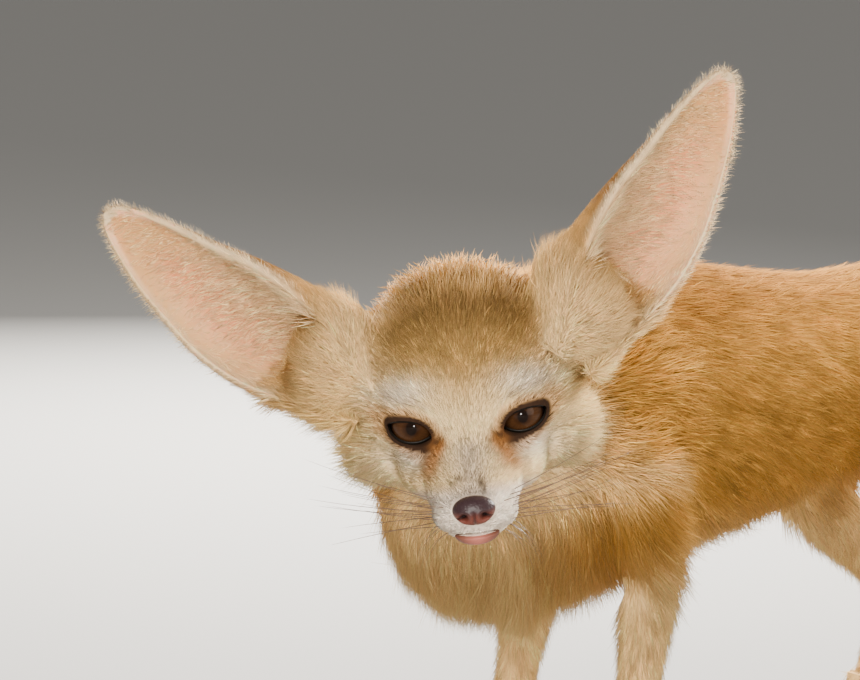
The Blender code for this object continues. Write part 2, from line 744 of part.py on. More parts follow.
def make_ear(side):
    """One ear as a curved wall: outer face, cup face and the rim that joins them."""
    base, axis, opening, outward, length = ear_frame(side)
    row = curve_through(EAR_RINGS, EAR_RINGS_DRAWN)
    share, half, deep, wrap = (row[:, k : k + 1] for k in range(4))
    turn = np.radians(wrap) * np.linspace(-1, 1, EAR_SIDES_DRAWN)
    bow = EAR_BOW * np.sin(math.pi * np.clip(share, 0, 1))
    centre = base + axis * share * length + outward * bow
    taper = np.clip(1.6 - share, 0.55, 1)
    faces_of = []
    for wall in (0.0, 1.0):
        less = wall * EAR_WALL * taper
        wide = np.maximum(half - less, 0.35 * half)
        back = np.maximum(deep - less, -0.6 * less)
        across = (wide * np.sin(turn))[..., None] * outward
        forward = (less * 0.35 * (1 - np.cos(turn)) - back * np.cos(turn))[..., None] * opening
        faces_of.append(centre[:, None] + across + forward)
    outer, cup = faces_of
    rings, sides = outer.shape[:2]
    points = np.vstack([outer.reshape(-1, 3), cup.reshape(-1, 3)])
    at = np.arange(rings * sides).reshape(rings, sides)
    inner = at + rings * sides
    quads = []
    for grid in (at, inner[:, ::-1]):
        corners = (grid[:-1, :-1], grid[:-1, 1:], grid[1:, 1:], grid[1:, :-1])
        quads.append(np.stack(corners, -1).reshape(-1, 4))
    edges = ((at[:, 0], inner[:, 0]), (inner[:, -1], at[:, -1]), (inner[0], at[0]), (at[-1], inner[-1]))
    for a, b in edges:
        quads.append(np.stack([a[:-1], a[1:], b[1:], b[:-1]], -1))
    triangles = []
    for a, b, c, d in np.vstack(quads).tolist():
        triangles += [[a, b, c], [a, c, d]]
    return on_head(solid(f"ear_{side}", points, triangles))


def paw_place(way, side):
    """The middle of a paw's pad, for one side."""
    x, y, z = PAW_PADS[way]
    sign = 1 if side == "left" else -1
    top = (FORELEG if way == "fore" else HINDLEG)[0][2]
    return sign * x, y - STEP_FORWARD[way][side] * (1 - z / top), z


def make_paw(way, side):
    """A paw: the pastern, the pad and four toes, all flat underneath."""
    x, y, _ = paw_place(way, side)
    long = PAW_LENGTH[way]
    name = f"{way}paw_{side}"
    rows = (
        (x, y + 5.5, PAW_TOP + 8, 8, 7.6, 8),
        (x, y + 4.5, PAW_TOP, 8, 7.6, 8),
        (x, y + 1, 12, 9.5, 9.5, 9),
        (x, y, 3, 9, 10, 9),
        (x, y, -3, 7, 7, 7),
    )
    pieces = [loft("pastern", rows, 9, 14), egg("pad", (x, y - 2, 6), (10.5, long, 8.2), 3)]
    for across, ahead, radius in TOES:
        pieces.append(egg("toe", (x + across, y - long + ahead, 5.4), (radius, 8, 6.2), 3))
    paw = flesh(name, pieces, 0.8, 2, PAW_TRIANGLES)
    cut(paw, block("floor", (x - 40, y - 60, -30), (x + 40, y + 60, 0)))
    cut(paw, block("over", (x - 40, y - 60, PAW_TOP - GAP), (x + 40, y + 60, 60)))
    paw.name = name
    return largest_surface(paw)


def add_claws(way, side, paw):
    """Four short curved claws, one from the end of each toe."""
    x, y, _ = paw_place(way, side)
    r = CLAW_RADIUS
    for across, ahead, _ in TOES:
        tip = y - PAW_LENGTH[way] + ahead - 8
        rows = (
            (x + across, tip + 2.5, 6.8, r, r * 1.3, r * 1.3),
            (x + across, tip - CLAW_LENGTH * 0.45, 5.8, r * 0.75, r, r),
            (x + across, tip - CLAW_LENGTH + 1, 3.2, 0.15, 0.2, 0.2),
        )
        cut(paw, loft("claw", rows, 3, 4), "UNION")
    return paw


def slide_to_centre(nodes):
    """Puts the middle of the fox's bounding box above the origin."""
    move = Matrix.Translation((-CENTRE[0] * MM, -CENTRE[1] * MM, 0))
    for node in nodes.values():
        node.data.transform(move)


def finish_of(name):
    """The finish that a node wears."""
    if name == "nose":
        return "nose"
    if name.startswith("eye_"):
        return "eye"
    if name == "tail_tip":
        return "tail tip"
    if name == "lower_jaw" or "paw" in name or "leg" in name:
        return "pale coat"
    return "coat"


def main():
    for old in list(bpy.data.objects):
        bpy.data.objects.remove(old)
    whole = flesh("whole", make_body() + make_head(), 2.2, 7, BODY_TRIANGLES, under_long_coat)
    nodes = part_whole(grow_locks(whole))
    nodes.update(open_eyes(nodes["head"]))
    nodes["lower_jaw"] = make_mouth(nodes["head"])
    nodes["nose"] = make_nose(nodes["head"])
    for side in ("left", "right"):
        ear = make_ear(side)
        for near in ("head", "neck", "torso"):
            largest_surface(cut(nodes[near], grown(ear, GAP)))
        nodes[f"ear_{side}"] = ear
    for way in ("fore", "hind"):
        for side in ("left", "right"):
            paw = make_paw(way, side)
            nodes[paw.name] = largest_surface(add_claws(way, side, paw))
    slide_to_centre(nodes)
    for name, node in nodes.items():
        node.name = name
        node.data.materials.clear()
        node.data.materials.append(material(finish_of(name)))
        if finish_of(name) in ("eye", "nose"):
            node.data.shade_smooth()


main()
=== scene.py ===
"""A life-size fennec fox, standing with its head held low and turned to its left.

Lengths are in millimetres in the fox's own frame until a mesh is made: x to its left, y backwards from the
middle of the back, z up from the floor. Places on the head are given from the point midway between the eyes.
"""

import math

import bpy
import numpy as np
from mathutils import Matrix, kdtree


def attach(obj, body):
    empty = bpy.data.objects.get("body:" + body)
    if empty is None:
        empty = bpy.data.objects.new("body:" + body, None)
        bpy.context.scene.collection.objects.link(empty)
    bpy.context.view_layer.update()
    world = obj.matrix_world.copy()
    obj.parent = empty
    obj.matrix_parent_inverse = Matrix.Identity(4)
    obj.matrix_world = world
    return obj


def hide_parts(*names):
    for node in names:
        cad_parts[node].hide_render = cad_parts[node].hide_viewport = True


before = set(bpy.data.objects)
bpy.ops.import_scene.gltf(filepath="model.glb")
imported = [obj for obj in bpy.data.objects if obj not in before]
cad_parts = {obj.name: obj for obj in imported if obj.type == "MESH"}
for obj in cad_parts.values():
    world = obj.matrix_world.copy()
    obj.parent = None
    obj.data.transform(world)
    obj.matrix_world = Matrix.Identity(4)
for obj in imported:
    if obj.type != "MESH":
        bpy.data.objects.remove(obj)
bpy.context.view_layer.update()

# The trunk, bib, tail and legs: flesh and bone under the coat, one smooth skin from nape to tail.
# Each form is a closed sleeve along a path, egg-shaped in section, and all are blended into each other.
SLIDE = np.array([-4.46, 17.33, 0.0])
TRUNK = (
    (0, 114, 158, 8, 10, 10),
    (0, 108, 158, 24, 27, 30),
    (0, 90, 158, 34, 38, 42),
    (0, 58, 158, 38, 40, 45),
    (0, 20, 157, 41, 41, 51),
    (0, -25, 157, 43, 47, 62),
    (0, -62, 159, 42, 51, 72),
    (0, -92, 160, 40, 50, 80),
    (-2, -116, 161, 39, 46, 80),
    (-4, -136, 162, 36, 40, 62),
    (-2, -150, 163, 28, 31, 38),
    (0, -162, 163, 12, 14, 14),
)
BIB = (
    (-6, -138, 178, 10, 10, 10),
    (-8, -143, 166, 28, 24, 22),
    (-9, -142, 142, 36, 29, 32),
    (-8, -134, 116, 37, 31, 34),
    (-5, -122, 96, 30, 24, 28),
    (-3, -112, 80, 16, 12, 16),
    (-2, -110, 74, 6, 5, 6),
)
TAIL = (
    (0, 96, 170, 10, 10, 10),
    (0, 112, 173, 14.5, 14.5, 14.5),
    (1, 132, 162, 16, 16, 16),
    (3, 153, 136, 17, 17, 17),
    (6, 170, 103, 20, 20, 20),
    (10, 188, 70, 21, 21, 21),
    (15, 213, 50, 20, 20, 20),
    (20, 236, 46, 16, 16, 16),
    (23, 250, 49, 11, 11, 11),
    (24, 256, 50, 6, 6, 6),
)
FORELEG = (
    (16, -92, 160, 12, 14, 14),
    (23, -92, 144, 18, 22, 22),
    (28, -85, 120, 17, 19, 20),
    (28, -79, 100, 13, 14, 15),
    (26, -80, 78, 9.8, 10, 10.5),
    (25, -83, 52, 8, 8, 8.5),
    (25, -85, 36, 8.4, 8, 8.5),
    (25, -88, 20, 8.4, 8, 8.5),
    (25, -89, 12, 7, 7, 7),
)
HINDLEG = (
    (14, 74, 170, 14, 18, 18),
    (22, 74, 151, 20, 31, 28),
    (27, 66, 130, 18, 29, 28),
    (29, 60, 108, 14, 21, 21),
    (29, 72, 91, 10.4, 13, 12.5),
    (28, 88, 76, 8.2, 9.2, 9.6),
    (27, 100, 63, 7.8, 8.5, 8),
    (27, 99, 46, 7.4, 7.6, 7.6),
    (27, 93, 24, 7.8, 7.6, 8),
    (27, 92, 12, 7, 7, 7),
)
STEP_FORWARD = {"fore": {"left": 0, "right": 20}, "hind": {"left": -8, "right": 8}}
UNDER_COAT = {"trunk": 7.0, "bib": 9.0, "tail": 9.0, "leg": 3.5}


def curve_through(rows, count):
    """Catmull-Rom curve through the rows, read at even places: the cubic through each pair and its neighbours."""
    rows = np.asarray(rows, float)
    padded = np.vstack([2 * rows[0] - rows[1], rows, 2 * rows[-1] - rows[-2]])
    place = np.linspace(0, len(rows) - 1, count)
    first = np.minimum(place.astype(int), len(rows) - 2)
    t = (place - first)[:, None]
    a, b, c, d = (padded[first + k] for k in range(4))
    curve = 2 * b + (c - a) * t + (2 * a - 5 * b + 4 * c - d) * t**2
    return 0.5 * (curve + (3 * b - a - 3 * c + d) * t**3)


def unit(vectors):
    """The same directions, one long."""
    return vectors / np.maximum(np.linalg.norm(vectors, axis=-1, keepdims=True), 1e-9)


def sleeve_faces(rings, sides):
    """Triangles of a closed sleeve of rings, with a fan to the point added at each end."""
    at = np.arange(rings * sides).reshape(rings, sides)
    after = np.roll(at, -1, axis=1)
    quads = np.stack([at[:-1], after[:-1], after[1:], at[1:]], -1).reshape(-1, 4)
    first, last = np.full(sides, rings * sides), np.full(sides, rings * sides + 1)
    ends = (np.stack([first, after[0], at[0]], 1), np.stack([last, at[-1], after[-1]], 1))
    return np.vstack([quads[:, [0, 1, 2]], quads[:, [0, 2, 3]], *ends])


def loft(rows, rings, sides):
    """Rings across a path: middle + half width x cos(angle) across + height above or below x sin(angle) over."""
    row = curve_through(rows, rings)
    centre, sizes = row[:, :3], row[:, 3:]
    along = unit(np.gradient(centre, axis=0))
    side = np.array([1.0, 0, 0])
    across = unit(side - (along @ side)[:, None] * along)
    over = np.cross(along, across)
    angle = np.linspace(0, 2 * math.pi, sides, endpoint=False)
    wide = sizes[:, :1] * np.cos(angle)
    high = np.where(np.sin(angle) > 0, sizes[:, 1:2], sizes[:, 2:3]) * np.sin(angle)
    points = centre[:, None] + wide[..., None] * across[:, None] + high[..., None] * over[:, None]
    return np.vstack([points.reshape(-1, 3), centre[0], centre[-1]]), sleeve_faces(rings, sides)


def egg(at, size, rings=22, sides=36):
    """An ellipsoid: middle + size x (sin turn cos angle, sin turn sin angle, cos turn)."""
    turn = np.linspace(0, math.pi, rings + 2)[1:-1, None]
    angle = np.linspace(0, 2 * math.pi, sides, endpoint=False)
    level = np.broadcast_to(np.cos(turn), (rings, sides))
    ball = np.stack([np.sin(turn) * np.cos(angle), np.sin(turn) * np.sin(angle), level], -1)
    ball = np.vstack([ball.reshape(-1, 3), [0, 0, 1], [0, 0, -1]])
    return np.asarray(at) + ball * np.asarray(size), sleeve_faces(rings, sides)[:, ::-1]


def mesh_object(name, *forms):
    """One object from closed forms, each a pair of points in millimetres and triangles or quads."""
    starts = np.cumsum([0] + [len(points) for points, _ in forms])
    points = np.vstack([points for points, _ in forms])
    faces = np.vstack([start + faces for start, (_, faces) in zip(starts, forms)])
    mesh = bpy.data.meshes.new(name)
    mesh.vertices.add(len(points))
    mesh.vertices.foreach_set("co", ((points - SLIDE) * 0.001).astype(np.float32).ravel())
    mesh.loops.add(faces.size)
    mesh.loops.foreach_set("vertex_index", faces.astype(np.int32).ravel())
    mesh.polygons.add(len(faces))
    mesh.polygons.foreach_set("loop_start", np.arange(0, faces.size, faces.shape[1], dtype=np.int32))
    mesh.polygons.foreach_set("use_smooth", np.ones(len(faces), bool))
    mesh.update(calc_edges=True)
    made = bpy.data.objects.new(name, mesh)
    bpy.context.scene.collection.objects.link(made)
    return made


def with_modifiers(made):
    """Turns what the modifiers make into the object's own mesh."""
    bpy.context.view_layer.update()
    graph = bpy.context.evaluated_depsgraph_get()
    made.data = bpy.data.meshes.new_from_object(made.evaluated_get(graph))
    made.modifiers.clear()
    return made


def vertex_arrays(made):
    """An object's points in the fox's frame, in millimetres, and its outward normals."""
    mesh = made.data
    points = np.empty(len(mesh.vertices) * 3, np.float32)
    normals = np.empty(len(mesh.vertices) * 3, np.float32)
    mesh.vertices.foreach_get("co", points)
    mesh.vertex_normals.foreach_get("vector", normals)
    return points.reshape(-1, 3).astype(float) * 1000 + SLIDE, normals.reshape(-1, 3).astype(float)


def blended(name, forms, voxel, relax, inset=None):
    """Overlapping forms as one skin: remeshed by voxels, relaxed, and drawn in along its normals."""
    made = mesh_object(name, *forms)
    remesh = made.modifiers.new("blend", "REMESH")
    remesh.mode = "VOXEL"
    remesh.voxel_size = voxel * 0.001
    smooth = made.modifiers.new("relax", "SMOOTH")
    smooth.factor = 0.5
    smooth.iterations = relax
    with_modifiers(made)
    if inset:
        points, normals = vertex_arrays(made)
        points -= normals * np.asarray(inset(points))[:, None]
        made.data.vertices.foreach_set("co", ((points - SLIDE) * 0.001).astype(np.float32).ravel())
        made.data.update()
    return made


def pared(rows, by, axis=2, start=-999):
    """A form's rows under its coat: each radius less by the coat's depth, or by half, from a place onwards."""
    return [(*row[:3], *(r - min(by, r / 2) * (row[axis] >= start) for r in row[3:])) for row in rows]


def stepped(rows, way, side):
    """A leg's rows for one side, its foot set forward and its top left where it is."""
    sign = 1 if side == "left" else -1
    forward, top = STEP_FORWARD[way][side], rows[0][2]
    return [(sign * x, y - forward * (1 - z / top), z, *rest) for x, y, z, *rest in rows]


body_forms = [
    loft(pared(TRUNK, UNDER_COAT["trunk"]), 48, 40),
    loft(pared(BIB, UNDER_COAT["bib"]), 30, 32),
    loft(pared(TAIL, UNDER_COAT["tail"], 1, 112), 60, 24),
]
for side in ("left", "right"):
    body_forms.append(loft(pared(stepped(FORELEG, "fore", side), UNDER_COAT["leg"], 2, 95), 34, 24))
    body_forms.append(loft(pared(stepped(HINDLEG, "hind", side), UNDER_COAT["leg"], 2, 95), 40, 24))
body = blended("body", body_forms, 2.4, 8, lambda p: 1.3 * (p[:, 2] < 95))

# The paws: small, with four toes each, furred round the pads and flat where they stand.
PAW_TOP = 22
PAW_PADS = {"fore": (25, -93, 11), "hind": (27, 86, 10.5)}
PAW_LENGTH = {"fore": 13, "hind": 15}
TOES = ((-7.4, 0.0, 3.9), (-2.6, -3.6, 4.2), (2.6, -3.6, 4.2), (7.4, 0.0, 3.9))


def cut(made, tool, operation="DIFFERENCE"):
    """Cuts, joins or crosses one closed mesh with another, and removes the tool."""
    modifier = made.modifiers.new("cut", "BOOLEAN")
    modifier.operation = operation
    modifier.solver = "MANIFOLD"
    modifier.object = tool
    with_modifiers(made)
    bpy.data.objects.remove(tool)
    return made


def block(low, high):
    """A box between two corners."""
    x, y, z = np.stack([low, high], 1).astype(float)
    corners = np.array([(x[i], y[j], z[k]) for i in (0, 1) for j in (0, 1) for k in (0, 1)])
    sides = ((0, 1, 3, 2), (4, 6, 7, 5), (0, 4, 5, 1), (2, 3, 7, 6), (0, 2, 6, 4), (1, 5, 7, 3))
    return corners, np.array(sides)


def paw_place(way, side):
    """The middle of a paw's pad on the floor, for one side."""
    x, y, z = PAW_PADS[way]
    top = (FORELEG if way == "fore" else HINDLEG)[0][2]
    return (x if side == "left" else -x), y - STEP_FORWARD[way][side] * (1 - z / top)


paws = []
for way in ("fore", "hind"):
    for side in ("left", "right"):
        x, y = paw_place(way, side)
        long = PAW_LENGTH[way]
        pastern = (
            (x, y + 5.5, PAW_TOP + 8, 8, 7.6, 8),
            (x, y + 4.5, PAW_TOP, 8, 7.6, 8),
            (x, y + 1, 12, 9.5, 9.5, 9),
            (x, y, 3, 9, 10, 9),
            (x, y, -3, 7, 7, 7),
        )
        forms = [loft(pastern, 20, 24), egg((x, y - 2, 6), (10.5, long, 8.2))]
        forms += [egg((x + dx, y - long + dy, 5.4), (r, 8, 6.2)) for dx, dy, r in TOES]
        paw = blended("paw", forms, 0.9, 3, lambda p: np.full(len(p), 0.7))
        paws.append(cut(paw, mesh_object("floor", block((x - 40, y - 60, -30), (x + 40, y + 60, 0.4)))))

# The head: a narrow tapering muzzle, broad cheeks and a high round brow. It is modelled in its own frame,
# then turned to the fox's left, nodded down and tipped a little, as it is carried.
HEAD_AT, HEAD_TURN, HEAD_NOD, HEAD_TIP = np.array([29.0, -165, 159]), 50, 12, -7
SKULL = (
    (0, 62, 6, 10, 12, 10),
    (0, 55, 7, 26, 26, 20),
    (0, 42, 7, 39, 37, 29),
    (0, 28, 5, 42, 37, 33),
    (0, 14, 0, 39, 32, 31),
    (0, 2, -5, 29.5, 21.5, 25),
    (0, -9, -11, 20.5, 15.5, 19),
    (0, -20, -16, 16.5, 12, 15),
    (0, -30, -19, 14, 9.5, 12),
    (0, -37, -20, 11, 8, 9.5),
    (0, -41.5, -20.5, 5, 4.5, 5.5),
)
FLESH = {
    "cheek": ((21.5, 24, -12), (22, 20, 18)),
    "jowl": ((14, 3, -15), (13, 21, 10.5)),
    "brow": ((17, 4, 8), (13, 9, 6)),
    "whisker pad": ((6.5, -31, -20), (8.5, 9, 7)),
}
EARS = {
    "left": (1, (42, 26, 24), (101.8, 52, 96), 33),
    "right": (-1, (-42, 26, 15), (-116, 46, 74), 25),
}
EAR_ROOT_SIZE = (19, 20, 21)
EYE_RADIUS, EYE_AT = 8.4, (18.0, 4.2, 0.0)
EYE_SPLAY, EYE_SLANT = 12, 9
EYE_OPEN_WIDE, EYE_OPEN_HIGH = 8.6, 4.3
MOUTH_LINE = ((-60, -23.6), (-42, -23.6), (-37, -24.6), (-30, -25.4), (-20, -22.6), (-12, -20.4))


def turning(axis, degrees):
    """Turn about one axis by the right-hand rule."""
    c, s = math.cos(math.radians(degrees)), math.sin(math.radians(degrees))
    a, b = [k for k in range(3) if k != axis]
    turned = np.eye(3)
    turned[a, a] = turned[b, b] = c
    turned[a, b] = -s if axis != 1 else s
    turned[b, a] = s if axis != 1 else -s
    return turned


HEAD_TURNED = turning(2, HEAD_TURN) @ turning(0, HEAD_NOD) @ turning(1, HEAD_TIP)


def on_head(form):
    """A form moved from the head's own frame to its place on the body."""
    points, faces = form
    return points @ HEAD_TURNED.T + HEAD_AT, faces


def in_head(points):
    """Places on the body as seen from the head's own frame."""
    return (points - HEAD_AT) @ HEAD_TURNED


def facing_out(form):
    """A closed form with its faces turned outwards: the sum of middle . normal over them is its volume."""
    points, faces = form
    a, b, c, d = (points[faces[:, k]] for k in (0, 1, 2, faces.shape[1] - 1))
    middle = (a + b + c + d) / 4 - points.mean(0)
    normal = np.cross(c - a, d - b if faces.shape[1] > 3 else c - b)
    volume = np.einsum("ij,ij->", middle, normal)
    return points, faces if volume > 0 else faces[:, ::-1]


def gaze(sign):
    """An eye's centre, its line of sight, and the ways from inner to outer corner and upwards."""
    centre = np.array([sign * EYE_AT[0], EYE_AT[1], EYE_AT[2]])
    splay, slant = math.radians(EYE_SPLAY), math.radians(EYE_SLANT)
    sight = np.array([sign * math.sin(splay), -math.cos(splay), 0])
    level = np.array([sign * math.cos(splay), math.sin(splay), 0])
    outer = level * math.cos(slant) + np.array([0, 0, math.sin(slant)])
    rise = np.array([0, 0, math.cos(slant)]) - level * math.sin(slant)
    return centre, sight, outer, rise


def lid_line(sign, count, wider=0.0):
    """The open lids' pointed oval: width x cos t across, height x |sin t|^1.25 up, in the plane of the lids."""
    centre, sight, outer, rise = gaze(sign)
    t = np.linspace(0, 2 * math.pi, count, endpoint=False)
    across = (EYE_OPEN_WIDE + wider) * np.cos(t)
    up = (EYE_OPEN_HIGH + wider) * np.sign(np.sin(t)) * np.abs(np.sin(t)) ** 1.25
    return centre + across[:, None] * outer + up[:, None] * rise, sight


def prism(rim, near, far):
    """A closed plate: an outline carried from one side to the other, with a fan over each end."""
    rings = np.vstack([rim + near, rim + far, rim.mean(0) + near, rim.mean(0) + far])
    return facing_out((rings, sleeve_faces(2, len(rim))))


def ramp(value, low, high):
    """0 below low, 1 above high, and smooth between."""
    t = np.clip((value - low) / np.subtract(high, low), 0, 1)
    return t * t * (3 - 2 * t)


def hug_eyes(made, lids=EYE_RADIUS + 1.2):
    """Draws the skin round each eye in to the ball of the lids: distance from the eye's middle, less
    its excess over the lids' radius x a weight that fades outwards from the opening."""
    points, _ = vertex_arrays(made)
    h = in_head(points)
    for sign in (1, -1):
        centre, sight, outer, rise = gaze(sign)
        off = h - centre
        far = np.linalg.norm(off, axis=1)
        across, up = (off @ outer) / EYE_OPEN_WIDE, (off @ rise) / EYE_OPEN_HIGH
        edge = np.hypot(across, up * 0.8)
        share = ramp(-edge, -2.1, -1.15) * (off @ sight > 0) * (far < 30)
        h = centre + off * (1 - share * np.maximum(1 - lids / np.maximum(far, 1), 0))[:, None]
    points = h @ HEAD_TURNED.T + HEAD_AT
    made.data.vertices.foreach_set("co", ((points - SLIDE) * 0.001).astype(np.float32).ravel())
    made.data.update()


def head_depth(points):
    """How far the skin lies under the short coat's surface: least on the muzzle, most on the nape."""
    y = in_head(points)[:, 1]
    return 0.5 + 1.0 * np.clip((y + 25) / 30, 0, 1) + 1.2 * np.clip((y - 14) / 25, 0, 1)


head_forms = [loft(pared(SKULL, 2.5, 1, 14), 60, 48)]
for (x, y, z), size in FLESH.values():
    head_forms += [egg((sign * x, y, z), size) for sign in (1, -1)]
head_forms += [egg(gaze(sign)[0], (EYE_RADIUS + 2.6,) * 3) for sign in (1, -1)]
for sign, base, tip, _ in EARS.values():
    root = np.array(base) + 3 * unit(np.subtract(tip, base))
    head_forms.append(egg(root - [sign * 2, -1, 0], EAR_ROOT_SIZE))
head = blended("head", [on_head(form) for form in head_forms], 1.0, 30, head_depth)
hug_eyes(head)
# Behind the muzzle the skin is relaxed again, so that cheeks, brow and ear roots flow into each other.
behind_muzzle = in_head(vertex_arrays(head)[0])[:, 1] > -14
cheeks = head.vertex_groups.new(name="behind the muzzle")
cheeks.add(np.flatnonzero(behind_muzzle).tolist(), 1.0, "REPLACE")
relax = head.modifiers.new("relax", "SMOOTH")
relax.factor = 0.5
relax.iterations = 60
relax.vertex_group = cheeks.name
with_modifiers(head)
for sign in (1, -1):
    cut(head, mesh_object("lids", on_head(egg(gaze(sign)[0], (EYE_RADIUS + 1.5,) * 3, 46, 64))), "UNION")
    cut(head, mesh_object("socket", on_head(egg(gaze(sign)[0], (EYE_RADIUS + 0.25,) * 3, 46, 64))))
    rim, sight = lid_line(sign, 48)
    cut(head, mesh_object("lid opening", on_head(prism(rim, sight * 1.5, sight * 16))))
slit = np.array(MOUTH_LINE)
slit = np.insert(np.vstack([slit, slit[::-1] - [0, 0.8]]), 0, 0, axis=1)
cut(head, mesh_object("mouth", on_head(prism(slit, np.array([-30.0, 0, 0]), np.array([30.0, 0, 0])))))

# The ears: very large thin cups, rolled shut at the root and open from a quarter of the way up.
EAR_RINGS = (
    (-0.16, 14, 17, 150),
    (0.0, 17, 22, 128),
    (0.12, 20, 22.5, 112),
    (0.28, 22.5, 20, 104),
    (0.45, 22, 15.5, 97),
    (0.62, 18.5, 10.5, 92),
    (0.78, 14.5, 6.5, 86),
    (0.90, 10, 3.6, 80),
    (0.97, 6.2, 2.0, 78),
    (1.0, 2.4, 0.9, 76),
)
EAR_WALL, EAR_BOW = 2.2, 5


def ear_frame(side):
    """The ear's root, its axis, the way its cup opens, the way to its outer edge, and its length."""
    sign, base, tip, turn = EARS[side]
    base, tip = np.array(base, float), np.array(tip, float)
    axis = unit(tip - base)
    nod = math.radians(HEAD_NOD + 8)
    viewer = np.array([0, -math.cos(nod), math.sin(nod)])
    front = unit(viewer - (viewer @ axis) * axis)
    outer = sign * np.cross(axis, front)
    turn = math.radians(turn)
    opening = front * math.cos(turn) + outer * math.sin(turn)
    return base, axis, opening, outer * math.cos(turn) - front * math.sin(turn), np.linalg.norm(tip - base)


def ear(side, rings=64, sides=44):
    """A wall round part of an oval: half width x sin(turn) outwards and cup depth x cos(turn) behind at each
    share of the axis, with the cup's face a wall's thickness inside the outer face."""
    base, axis, opening, outward, length = ear_frame(side)
    row = curve_through(EAR_RINGS, rings)
    share, half, deep, wrap = (row[:, k : k + 1] for k in range(4))
    turn = np.radians(wrap) * np.linspace(-1, 1, sides)
    centre = base + axis * share * length + outward * EAR_BOW * np.sin(math.pi * np.clip(share, 0, 1))
    walls = []
    for less in (0.6, 0.6 + EAR_WALL * np.clip(1.6 - share, 0.55, 1)):
        wide = np.maximum(half - less, 0.35 * half)
        back = np.maximum(deep - less, -0.6 * less)
        across = (wide * np.sin(turn))[..., None] * outward
        ahead = (less * 0.35 * (1 - np.cos(turn)) - back * np.cos(turn))[..., None] * opening
        walls.append((centre[:, None] + across + ahead).reshape(-1, 3))
    at = np.arange(rings * sides).reshape(rings, sides)
    inner = at + rings * sides
    quads = []
    for grid in (at, inner[:, ::-1]):
        corners = (grid[:-1, :-1], grid[:-1, 1:], grid[1:, 1:], grid[1:, :-1])
        quads.append(np.stack(corners, -1).reshape(-1, 4))
    edges = ((at[:, 0], inner[:, 0]), (inner[:, -1], at[:, -1]), (inner[0], at[0]), (at[-1], inner[-1]))
    quads += [np.stack([a[:-1], a[1:], b[1:], b[:-1]], -1) for a, b in edges]
    return facing_out((np.vstack(walls), np.vstack(quads)))


ears = {side: mesh_object(f"ear {side}", on_head(ear(side))) for side in EARS}

# The whole skin: body, head, ears and paws joined into one surface, so that no seam shows. Skin and coat
# share these markings: golden brown above, cream below, white round the eyes, a rust stripe down each side of
# the muzzle, pink inside the ears and a black tip to the tail. Painted shade is added in the fold above each
# eye and just above the nose, and the skin is painted darker than the coat, a painted shade under the hair.
for part in (head, *ears.values(), *paws):
    cut(body, part, "UNION")
skin = body
skin.name = "skin"
skin.data.name = "skin"
SANDY, BACK_BROWN, CREAM = (0.64, 0.32, 0.06), (0.46, 0.20, 0.04), (0.95, 0.62, 0.26)
FOREHEAD, CROWN = (0.52, 0.31, 0.10), (0.34, 0.19, 0.06)
CHEEK_CREAM, CHEEK_GOLD = (0.95, 0.70, 0.36), (0.88, 0.54, 0.17)
EYE_WHITE, MUZZLE_WHITE, BRIDGE_GREY = (0.95, 0.81, 0.62), (0.92, 0.78, 0.64), (0.50, 0.40, 0.31)
RUST, DARK_BROWN, TAIL_BLACK = (0.44, 0.17, 0.035), (0.03, 0.014, 0.007), (0.03, 0.022, 0.018)
EAR_BACK, EAR_ROOT = (0.32, 0.155, 0.045), (0.66, 0.37, 0.12)
EAR_RIM, EAR_HAIR = (0.88, 0.68, 0.42), (0.88, 0.62, 0.33)
EAR_PEACH, EAR_GOLD, EAR_PINK = (0.86, 0.52, 0.24), (0.64, 0.37, 0.12), (0.86, 0.33, 0.12)


def spot(u, v, at, size):
    """1 at a place and fading round it: exp(-(du / wide)^2 - (dv / high)^2)."""
    return np.exp(-(((u - at[0]) / size[0]) ** 2) - ((v - at[1]) / size[1]) ** 2)


def towards(colour, other, share):
    """A colour mixed towards another by a share at each place."""
    return colour + (np.asarray(other) - colour) * np.clip(np.atleast_1d(share), 0, 1)[:, None]


def ear_place(points, out, side):
    """How much a place is on this ear, its share of the length, its place from the inner edge (-1) round the
    wall to the outer edge (1), and how much its skin faces into the cup."""
    base, axis, opening, outward, length = ear_frame(side)
    off = in_head(points) - base
    share = off @ axis / length
    middle = share[:, None] * length * axis + EAR_BOW * np.sin(math.pi * np.clip(share, 0, 1))[:, None] * outward
    off = off - middle
    row = curve_through(EAR_RINGS, 100)
    half, deep, wrap = (np.interp(share, row[:, 0], row[:, k]) for k in (1, 2, 3))
    near = ramp(-np.linalg.norm(off, axis=1), -1.4 * np.maximum(half, deep) - 4, -1.05 * np.maximum(half, deep) - 1)
    inward = -np.einsum("ij,ij->i", unit(off), out @ HEAD_TURNED)
    here = near * ramp(share, 0.0, 0.22) * (share < 1.08)
    turn = np.degrees(np.arctan2((off @ outward) / half, -(off @ opening) / deep)) / wrap
    return here, share, turn, ramp(inward, -0.15, 0.35)


def eye_distance(h):
    """How far a place is from the nearer eye's middle, as a multiple of the lids' opening there."""
    near = np.full(len(h), 99.0)
    for sign in (1, -1):
        centre, sight, outer, rise = gaze(sign)
        off = h - centre
        far = np.hypot((off @ outer) / EYE_OPEN_WIDE, (off @ rise) / (EYE_OPEN_HIGH + 0.5))
        near = np.minimum(near, far + 99 * (off @ sight < 0))
    return near


def on_skull(h):
    """1 over the head and its ears, fading to 0 on the neck."""
    return ramp(-h[:, 1], -64, -44) * ramp(h[:, 2], -46, -34)


